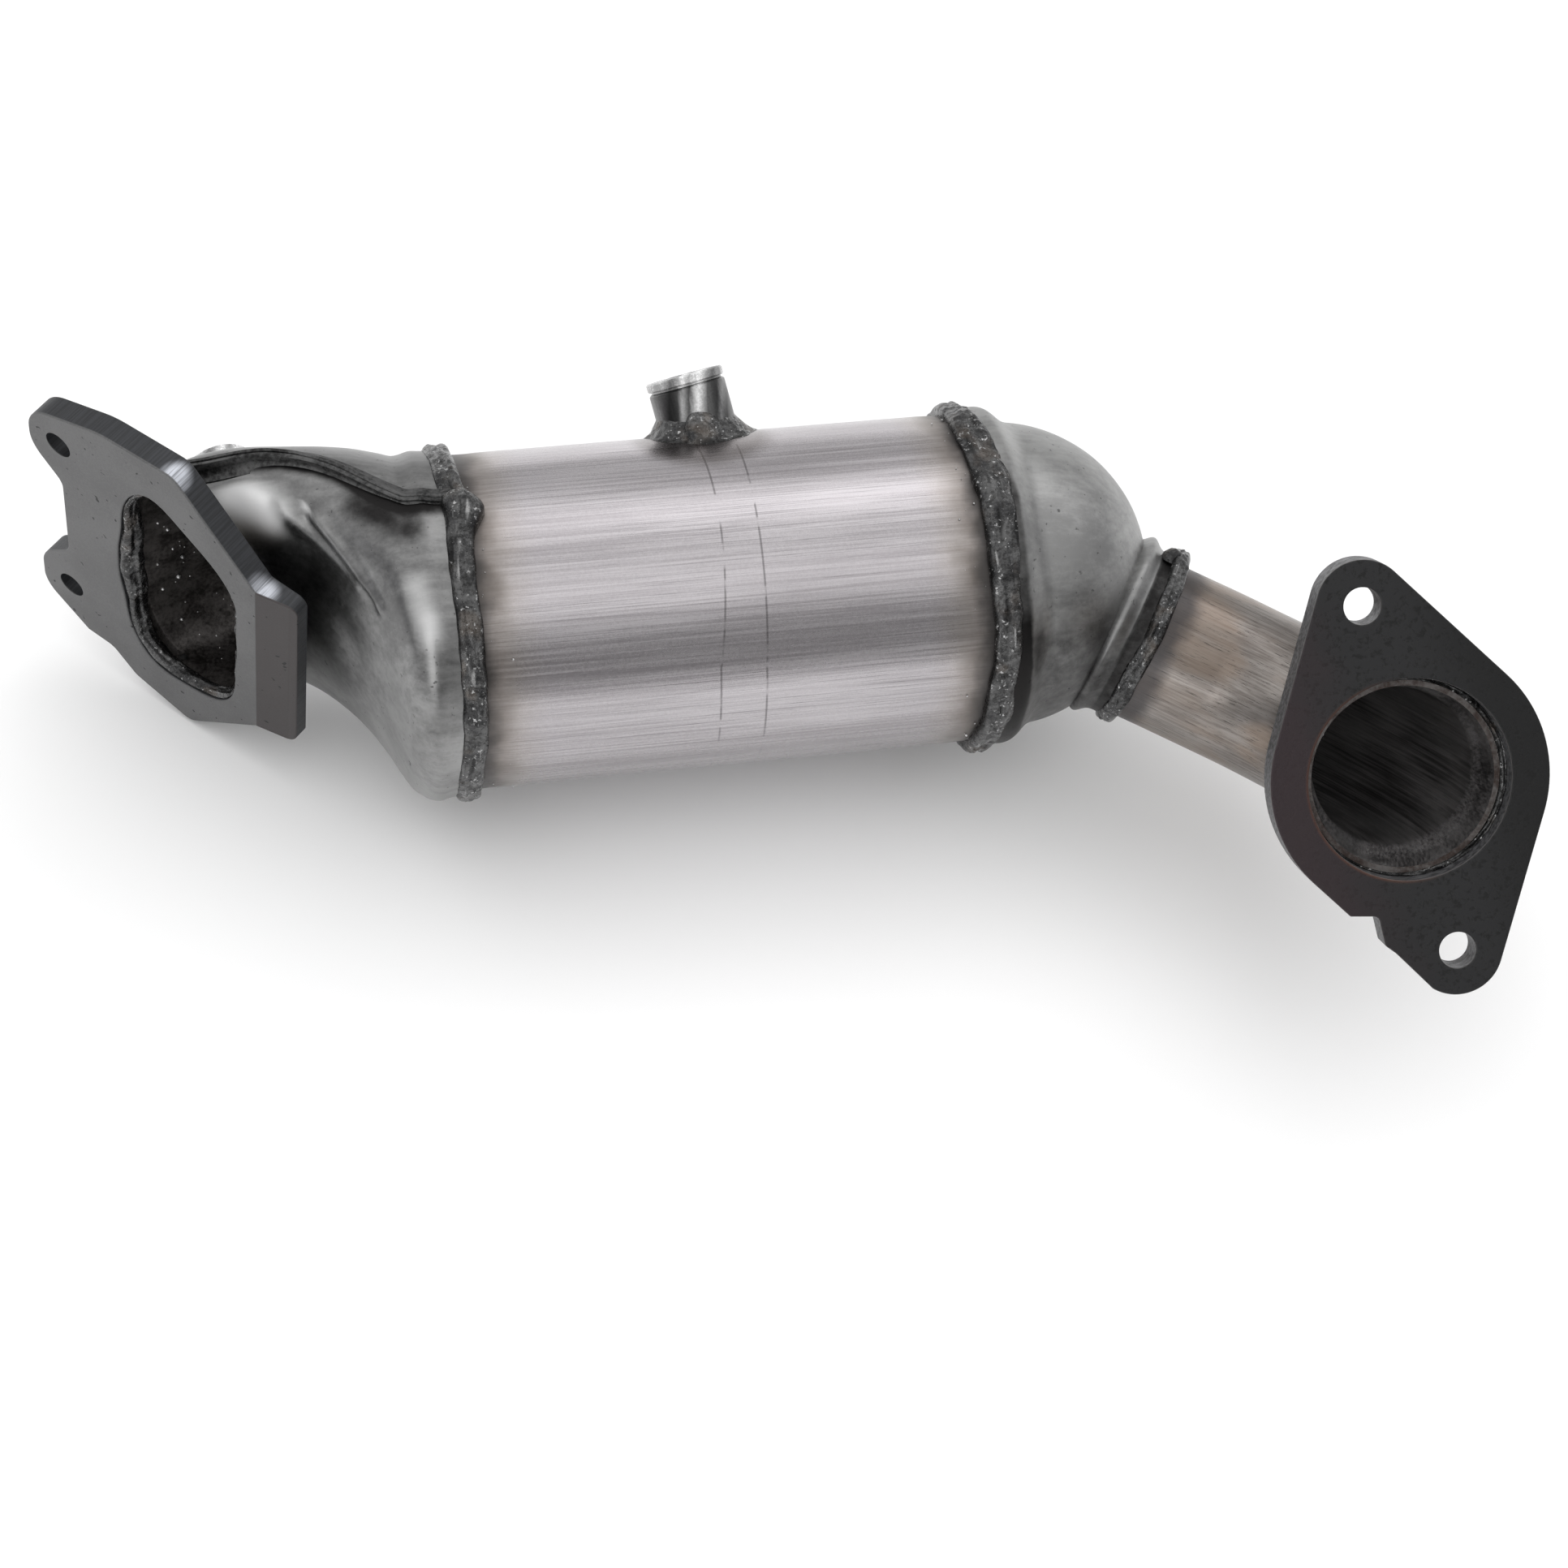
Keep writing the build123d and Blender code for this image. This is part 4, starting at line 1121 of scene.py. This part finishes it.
class CONVERTER_OT_pipe(Operator):
    """Bent outlet pipe with its flared end"""

    bl_idname = "converter.pipe"
    bl_label = "Outlet pipe"

    def execute(self, context):
        bent = BEND_R * BEND
        flare = LEAD + bent + 3.0
        stops = np.concatenate([
            np.linspace(-7, LEAD, 24),
            LEAD + np.linspace(0, bent, 80)[1:],
            LEAD + bent + np.array((1.5, 3.0, 4.3, 5.6, 7.0, 8.4, 9.7, 11.0, 13.0, 17.0, 21.3, 22.0)),
        ])
        opened = soft_step(stops, flare, flare + 8)
        turn = np.clip((stops - LEAD) / BEND_R, 0, BEND)
        past = np.clip(stops - LEAD - bent, 0, None)
        u = np.minimum(stops, LEAD) + BEND_R * np.sin(turn) + past * cos(BEND)
        v = BEND_R * (1 - np.cos(turn)) + past * sin(BEND)
        centre = PIPE.at(u, v) - 1.1 * np.outer(opened, (0.965, -0.248, 0.08))
        ahead = np.cos(turn)[:, None] * PIPE.x + np.sin(turn)[:, None] * PIPE.y
        across = np.cross(ahead, PIPE.z)
        radius = PIPE_R + 3.0 * opened
        angle = full_turn(160)
        ring = np.cos(angle)[None, :, None] * across[:, None] + np.sin(angle)[None, :, None] * PIPE.z
        slow = bumps(centre[:, None] + ring * 25, 15, 6.0) * 0.12
        outer = centre[:, None] + ring * (radius[:, None] + slow)[..., None]
        inner = centre[:, None] + ring * (radius - PIPE_WALL)[:, None, None]
        points, faces = grid(np.concatenate([outer, inner[::-1]]), round_u=True, flip=True)
        outside = (0.17, 0.150, 0.137), (0.34, 0.315, 0.295), (0.27, 0.20, 0.15)
        inside = (0.02, 0.019, 0.019), (0.20, 0.19, 0.19), (0.06, 0.06, 0.06)
        paints = (
            pipe_steel("bent_tube_steel", outside, 0.8, 1.0),
            smoked_steel("pipe_end", (0.06, 0.045, 0.04), (0.16, 0.15, 0.145)),
            pipe_steel("pipe_inside", inside, 0.6, 0.25),
        )
        ring_start = (len(outer) - 1) * len(angle)
        zones = ((ring_start, 1), (ring_start + len(angle), 2), (len(faces) - len(angle), 1))
        mesh = mesh_of("bent_pipe", points, faces, zones=zones)
        link("bent_pipe", mesh, paints, "outlet_pipe")
        return {"FINISHED"}


class CONVERTER_OT_outlet_plate(Operator):
    """Diamond outlet plate with a step cut in one flank"""

    bl_idname = "converter.outlet_plate"
    bl_label = "Outlet plate"

    def execute(self, context):
        lean = 90 - degrees(asin((SHOULDER_R - EAR_R) / BOLT_AT))

        def swing(centre, radius, first, last):
            return arc(centre, radius, np.linspace(first, last, int(abs(last - first) / 3) + 2))

        step = rounded(
            [(-21.1, 34.9), (-33.7, 27.4), (-36.2, 19.6), (-45.2, 20.0), (-48.5, 17.5), (-61.0, 10.5)],
            [0, 0.8, 1.8, 1.8, 3.0, 0],
        )
        outline = swing(BOLT_AT, EAR_R, -lean, lean) + swing(0, SHOULDER_R, lean, 180 - lean) + step[1:]
        outline += swing(-BOLT_AT, EAR_R, 128.5, 180 + lean)[1:]
        outline += swing(0, SHOULDER_R, 180 + lean, 360 - lean)
        holes = [hole(BOLT_AT, BOLT_R), hole(-BOLT_AT, BOLT_R), hole(0, BORE_R, 128)]
        mesh = plate_mesh("outlet_plate", outline, holes, OUTLET_THICK)
        lay(mesh, OUTLET, lambda v, w: w - OUTLET_THICK / 2, outlet_plate_steel(), "outlet_flange")
        return {"FINISHED"}


class CONVERTER_OT_ring_welds(Operator):
    """Ring welds on the body and the pipe, and the beads inside both plates"""

    bl_idname = "converter.ring_welds"
    bl_label = "Ring welds"

    def execute(self, context):
        rng = np.random.default_rng(11)
        angle = full_turn(540)
        self.body_beads(rng, angle)
        self.pipe_bead(rng, angle)
        self.port_bead(rng)
        self.plate_bead(angle)
        return {"FINISHED"}

    def body_beads(self, rng, angle):
        """Wandering beads at both ends of the body; the first has a knot where the cone's seam ends."""
        s = sizes()
        width, height, ripple = s.weld_width / MM, s.weld_height / MM, s.ripple / MM
        around, lengthwise = BODY.spokes(angle)
        wander = 0.7 * np.sin(angle * 2 + 0.6) + 0.4 * np.sin(angle * 5 + 2)
        from_top = (angle + pi) % (2 * pi) - pi
        top = np.exp(-((from_top / 0.5) ** 2))
        knot = np.exp(-(((from_top + 0.07) / 0.13) ** 2))
        left = (
            1.2 + 2.2 * knot, width + 4.5 * knot,
            (((115.0, -44.5, 46.5), 8.5, 3.2), ((112, -58, 44.5), 5.0, 0.7), ((113, -95, 20), 6.0, 0.6)),
        )
        right = (
            BODY_LEN - 1.9, width * (1.1 + 0.35 * top),
            (((271, -20, 41), 7.0, 1.0), ((271, -52, 46), 5.0, 1.1), ((272, -78, 38), 6.0, 0.8)),
        )
        for name, node, seed, (along, wide, lumps) in (
            ("inlet_ring_weld", "inlet_body_weld", 1.0, left),
            ("outlet_ring_weld", "outlet_body_weld", 2.0, right),
        ):
            path = BODY.circle(BODY_R + 0.6, angle, along + wander)
            sheet, dark = bead(path, around, lengthwise, wide, height, ripple, seed, lumps)
            drops = self.drops(rng, path, around, BODY_R + 0.05, s.spatter_count)
            self.finish(name, node, sheet, dark, drops)

    def pipe_bead(self, rng, angle):
        """Bead between the collar and the pipe, with a blob on its upper side."""
        ring, ahead = COLLAR.spokes(angle)
        path = COLLAR.origin + ring * 26.0 + ahead * (11.2 + 0.5 * np.sin(angle * 2 + 1))[:, None]
        lumps = (((332.8, -59.8, 11.2), 8.5, 3.4), ((322, -88, 1), 5.0, 0.6))
        sheet, dark = bead(path, ring, ahead, 5.8, 2.2, sizes().ripple / MM, 3.0, lumps)
        blob = spatter(rng, np.array([(332.6, -59.9, 10.4)]), unit([(0.28, 0.45, 0.85)]), 1, 3.6, 3.8)
        dark = np.concatenate([dark, np.full(len(blob[0]), 0.5)])
        self.finish("pipe_ring_weld", "outlet_pipe_weld", join(sheet, blob), dark)

    def plate_bead(self, angle):
        """Thin bead in the bore of the outlet plate."""
        ring, ahead = OUTLET.spokes(angle)
        path = OUTLET.origin + ring * (BORE_R - 0.8) - ahead * 6.2
        lumps = (((395.0, -141.0, 44.0), 4.0, 1.0), ((399.0, -146.0, 40.5), 3.0, 0.8))
        sheet, dark = bead(path, ahead, -ring, 2.6, 0.6, 2.6, 4.0, lumps, sink=0.8)
        self.finish("outlet_plate_weld", "outlet_flange_weld", sheet, np.clip(dark + 0.5, 0, 1))

    def finish(self, name, node, sheet, dark, *drops):
        """Links a bead, with its darkness, and drops of spatter in a brighter metal."""
        points, faces = join(sheet, *drops)
        soot = np.zeros(len(points))
        soot[: len(dark)] = dark
        mesh = mesh_of(name, points, faces, 60, zones=((len(sheet[1]), 1),), soot=soot)
        bright = bpy.data.materials.get("spatter_steel")
        bright = bright or smoked_steel("spatter_steel", (0.25, 0.25, 0.25), (0.75, 0.75, 0.75))
        link(name, mesh, [weld_paint(), bright], node)

    def drops(self, rng, path, up, radius, count):
        """Spatter on the body tube, beside a ring weld."""
        away = rng.choice((-1, 1), len(path)) * (5.0 + 9 * rng.random(len(path)) ** 2)
        level = np.tile(BODY.origin, (len(path), 1))
        level[:, 0] = path[:, 0] + away
        on_body = (level[:, 0] > 117) & (level[:, 0] < 267)
        return spatter(rng, (level + up * radius)[on_body], up[on_body], count, 0.12, 0.5)

    def port_bead(self, rng):
        """Thick fillet inside the port, broadest on its long straight side."""
        angles = np.arange(0, 360, 0.75)
        edge = port_ring(0.0, 0.0, angles)
        inward = unit(INLET.at(*PORT_AT) - edge)
        broad = np.exp(-(((angles - 262) / 66) ** 4))
        deeper = np.tile(INLET.z, (len(angles), 1))
        side = unit(deeper * 0.90 + inward * 0.44)
        up = unit(inward * 0.90 - deeper * 0.44)
        width = 4.2 + 3.4 * broad
        path = edge + deeper * 1.0 + side * (width / 2)[:, None] + inward * 0.1
        lumps = (
            ((24.0, -18.6, -46.5), 7.0, 2.4), ((33.7, -30.1, -50.0), 5.0, 1.2), ((14, -9, 30), 5.0, 0.8),
        )
        sheet, dark = bead(path, up, side, width, 1.0 + 1.7 * broad, 4.2, 7.0, lumps, sink=1.6)
        wall = cone_sheet(np.arange(0, 360, 3.0), np.arange(10.0, 62.0, 2.0))
        inner = -outward(wall)
        seats = (wall + inner * WALL).reshape(-1, 3)
        drops = spatter(rng, seats, inner.reshape(-1, 3), 150, 0.2, 1.0)
        self.finish("inlet_port_bead", "inlet_port_weld", sheet, dark * 0.7, drops)


class CONVERTER_OT_sensor_bosses(Operator):
    """Both sensor bosses with their plugs and foot welds"""

    bl_idname = "converter.sensor_bosses"
    bl_label = "Sensor bosses"

    def execute(self, context):
        walls = [bpy.data.objects[n] for n in ("body_tube", "cone_rear_half", "cone_front_half")]
        depsgraph = context.evaluated_depsgraph_get()
        trees = [BVHTree.FromObject(wall, depsgraph) for wall in walls]
        for label, datum, lumps in (
            ("midbed", MID_BOSS, (((191.6, -14.9, 38.4), 6.2, 3.6), ((193.5, -22.1, 38.0), 1.2, 0.8))),
            ("upstream", UP_BOSS, (((49, 12, 8), 4.0, 1.2),)),
        ):
            steel = turned_steel(label + "_boss_steel", datum, STEEL_REFLECTION_GREYS, 0.34, 0.85)
            zinc = turned_steel(label + "_zinc_plate", datum, ZINC_REFLECTION_GREYS, 0.26, 0.2)
            boss = [
                (THREAD_R, -2), (BOSS_R, -6), (BOSS_R, 0), (BOSS_R, 8), (BOSS_R, BOSS_TALL - 0.6),
                (BOSS_R - 0.6, BOSS_TALL), (THREAD_R, BOSS_TALL),
            ]
            self.turned(label + "_boss_turned", datum, boss, steel, label + "_boss", "boss_steel")
            plug = [
                (8.8, 3.6), (8.8, 15.3), (10.9, 15.3), (10.9, 15.8), (11.5, 15.85), (11.9, 16.2),
                (11.9, 18.1), (11.5, 18.6), (10.8, 18.65), (10.2, 18.4), (3.0, 18.3), (0.01, 18.3),
            ]
            self.turned(label + "_plug_turned", datum, plug, zinc, label + "_plug", "zinc_plate")
            self.foot(label, datum, trees, lumps)
        return {"FINISHED"}

    def turned(self, name, datum, profile, paint, node, slot):
        """Turned piece from a profile of (radius, height)."""
        profile = np.array(profile, float)
        points, faces = grid(datum.circle(profile[:, :1], full_turn(120), profile[:, 1:]), flip=True)
        link(name, mesh_of(name, points, faces, 30), [paint], node)

    def foot(self, label, datum, trees, lumps):
        """Weld that slopes from the boss down to the wall it stands on."""
        angle = full_turn(240)
        shares = np.linspace(0, 1, 26)
        ragged = bumps(datum.circle(17, angle), 6, 8.0)
        inside = BOSS_R - 0.5
        rows = []
        for share in shares:
            radius = inside + (FOOT_R + 1.4 * ragged - inside) * share
            spots = datum.circle(radius, angle, FOOT_FROM)
            fall = np.array([self.fall(spot, datum, trees) for spot in spots])
            wall = spots - datum.z * fall[:, None]
            rise = FOOT_TALL * (1 - share) ** 1.9 + 0.5 * sin(pi * share) - 0.5 * (share == 1)
            row = wall + datum.z * rise
            crust = bumps(row, 3.2, 3.0) * 0.45 + bumps(row, 1.2, 9.0) * 0.15
            row = row + datum.z * crust[:, None] * min(1, 4 * (1 - share))
            for centre, size, lift in lumps:
                near = np.linalg.norm(row - np.array(centre), axis=1)
                row = row + datum.z * (lift * np.sqrt(np.clip(1 - (near / size) ** 2, 0, 1)))[:, None]
            rows.append(row)
        points, faces = grid(np.array(rows))
        name = label + "_foot_weld"
        dark = np.clip(0.9 * shares[:, None] ** 6 + 0.5 * bumps(np.array(rows), 2.2, 5.0), 0, 1)
        mesh = mesh_of(name, points, faces, 60, soot=dark)
        link(name, mesh, [weld_paint()], label + "_boss_weld")

    def fall(self, spot, datum, trees):
        """Distance from a spot down to the wall, or the starting height where no wall is near."""
        hits = [tree.ray_cast(Vector(spot * MM), Vector(-datum.z), 0.04)[3] for tree in trees]
        falls = [hit / MM for hit in hits if hit is not None and hit / MM < FOOT_FROM + 6]
        return min(falls, default=FOOT_FROM)


class CONVERTER_OT_bricks(Operator):
    """Finishes of the honeycomb bricks and their mats"""

    bl_idname = "converter.bricks"
    bl_label = "Bricks and mats"

    def execute(self, context):
        ceramic = dull_fill("honeycomb_ceramic", (0.45, 0.40, 0.33), (0.68, 0.63, 0.55), 0.8, 0.85)
        fibre = dull_fill("fibre_mat", (0.62, 0.60, 0.55), (0.85, 0.83, 0.79), 0.5, 0.95)
        for node, paint in (
            ("front_brick", ceramic), ("rear_brick", ceramic), ("front_mat", fibre), ("rear_mat", fibre),
        ):
            mesh = frame["nodes"][node].data
            mesh.materials.clear()
            mesh.materials.append(paint)
        return {"FINISHED"}


class CONVERTER_OT_stage(Operator):
    """Pale floor, soft light, white surroundings and the camera"""

    bl_idname = "converter.stage"
    bl_label = "Stage"

    def execute(self, context):
        scene = context.scene
        scene.view_settings.view_transform = "Standard"
        self.floor()
        self.world(scene)
        self.lamp("overhead_light", (0.20, 0.1, 2.0), (0.2, -0.05, 0.0), 3.0, 3.0, 29)
        self.camera(scene)
        return {"FINISHED"}

    def camera(self, scene):
        """Camera at the place from which the photo was taken."""
        camera = bpy.data.cameras.new("camera")
        camera.sensor_width = 36.0
        camera.lens = camera.sensor_width * FOCAL / PHOTO_WIDE
        camera.clip_start = 0.01
        eye = bpy.data.objects.new("camera", camera)
        right = np.array((0.980982, -0.171135, 0.091580))
        down = np.array((-0.098112, -0.844307, -0.526801))
        ahead = np.array((0.167476, 0.507797, -0.845041))
        shift = np.array((-217.9823, -80.9491, 984.5161))
        place = -(right * shift[0] + down * shift[1] + ahead * shift[2]) * MM
        turn = Matrix([list(right), list(-down), list(-ahead)]).transposed().to_4x4()
        eye.matrix_world = Matrix.Translation(Vector(place)) @ turn
        scene.collection.objects.link(eye)
        scene.camera = eye

    def floor(self):
        corners = [
            (x * FLOOR_HALF * MM, y * FLOOR_HALF * MM, FLOOR_LEVEL * MM)
            for x, y in ((-1, -1), (1, -1), (1, 1), (-1, 1))
        ]
        mesh = bpy.data.meshes.new("floor")
        mesh.from_pydata(corners, [], [(0, 1, 2, 3)])
        floor = bpy.data.objects.new("floor", mesh)
        bpy.context.scene.collection.objects.link(floor)
        f = Finish("white_floor")
        sockets = {"Base Color": tuple(colours().floor), "Roughness": 0.9}
        f.close(f.node("ShaderNodeBsdfPrincipled", None, sockets))
        mesh.materials.append(f.holder)

    def world(self, scene):
        """Studio that the metal mirrors: bands round the body axis, a softbox, a lamp and the floor."""
        scene.world = bpy.data.worlds.new("studio")
        f = Finish("studio", scene.world)
        way = f.node("ShaderNodeTexCoord", out="Generated")
        x, y, z = f.axes(way)
        swing = (0.0 - y).math("ARCTAN2", z) / pi + 0.5
        greys = (
            (0.0, 0.50), (0.20, 0.62), (0.26, 1.10), (0.33, 1.30), (0.39, 1.0), (0.50, 0.78),
            (0.57, 1.10), (0.62, 1.10), (0.69, 0.95), (0.77, 0.42), (0.85, 0.27), (0.99, 0.33),
        )
        room = f.ramp(swing, greys)
        softbox = f.ease(swing, 0.24, 0.30) * f.ease(swing, 0.35, 0.40, 1, 0) * f.ease(x, 0.06, 0.24)
        room = f.blend(softbox * 0.6, room, (2.1, 2.08, 2.1))
        room = f.blend(f.ease(abs(x), 0.75, 0.95), room, (0.45, 0.45, 0.46))
        lamp = f.along(way, (0, 0, 0), (-0.48, -0.79, 0.38))
        room = f.blend(f.ease(lamp, 0.95, 0.985), room, (2.6, 2.6, 2.6))
        room = f.blend(f.ease(z, -0.02, 0.0, 1, 0), room, (0.9, 0.9, 0.9))
        lit = f.node("ShaderNodeBackground", None, {"Color": room, "Strength": 1.0})
        white = f.node("ShaderNodeBackground", None, {"Color": (1.0, 1.0, 1.0), "Strength": 1.0})
        ray = f.node("ShaderNodeLightPath", out="Is Camera Ray")
        mix = f.node("ShaderNodeMixShader", None, {0: ray, 1: lit, 2: white})
        f.close(mix, "ShaderNodeOutputWorld")

    def lamp(self, name, place, aim, wide, deep, power):
        light = bpy.data.lights.new(name, "AREA")
        light.shape = "RECTANGLE"
        light.size = wide
        light.size_y = deep
        light.energy = power
        holder = bpy.data.objects.new(name, light)
        holder.location = place
        holder.visible_glossy = False
        look = Vector(aim) - Vector(place)
        holder.rotation_euler = look.to_track_quat("-Z", "Y").to_euler()
        bpy.context.scene.collection.objects.link(holder)


STEPS = (
    CONVERTER_OT_inlet_plate,
    CONVERTER_OT_inlet_cone,
    CONVERTER_OT_body,
    CONVERTER_OT_outlet_dome,
    CONVERTER_OT_pipe,
    CONVERTER_OT_outlet_plate,
    CONVERTER_OT_ring_welds,
    CONVERTER_OT_sensor_bosses,
    CONVERTER_OT_bricks,
    CONVERTER_OT_stage,
)


class CONVERTER_PT_sidebar(Panel):
    """Buttons that build the converter piece by piece"""

    bl_idname = "CONVERTER_PT_sidebar"
    bl_label = "Catalytic converter"
    bl_space_type = "VIEW_3D"
    bl_region_type = "UI"
    bl_category = "Converter"

    def draw(self, context):
        column = self.layout.column()
        for group in (context.scene.converter_sizes, context.scene.converter_colours):
            for key in group.__annotations__:
                column.prop(group, key)
        for step in STEPS:
            column.operator(step.bl_idname)


def register():
    for item in (ConverterSizes, ConverterColours, *STEPS, CONVERTER_PT_sidebar):
        bpy.utils.register_class(item)
    bpy.types.Scene.converter_sizes = PointerProperty(type=ConverterSizes)
    bpy.types.Scene.converter_colours = PointerProperty(type=ConverterColours)


def unregister():
    del bpy.types.Scene.converter_colours
    del bpy.types.Scene.converter_sizes
    for item in (CONVERTER_PT_sidebar, *reversed(STEPS), ConverterColours, ConverterSizes):
        bpy.utils.unregister_class(item)


def main():
    register()
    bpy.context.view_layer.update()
    for step in STEPS:
        group, action = step.bl_idname.split(".")
        getattr(getattr(bpy.ops, group), action)()


if __name__ == "__main__":
    main()
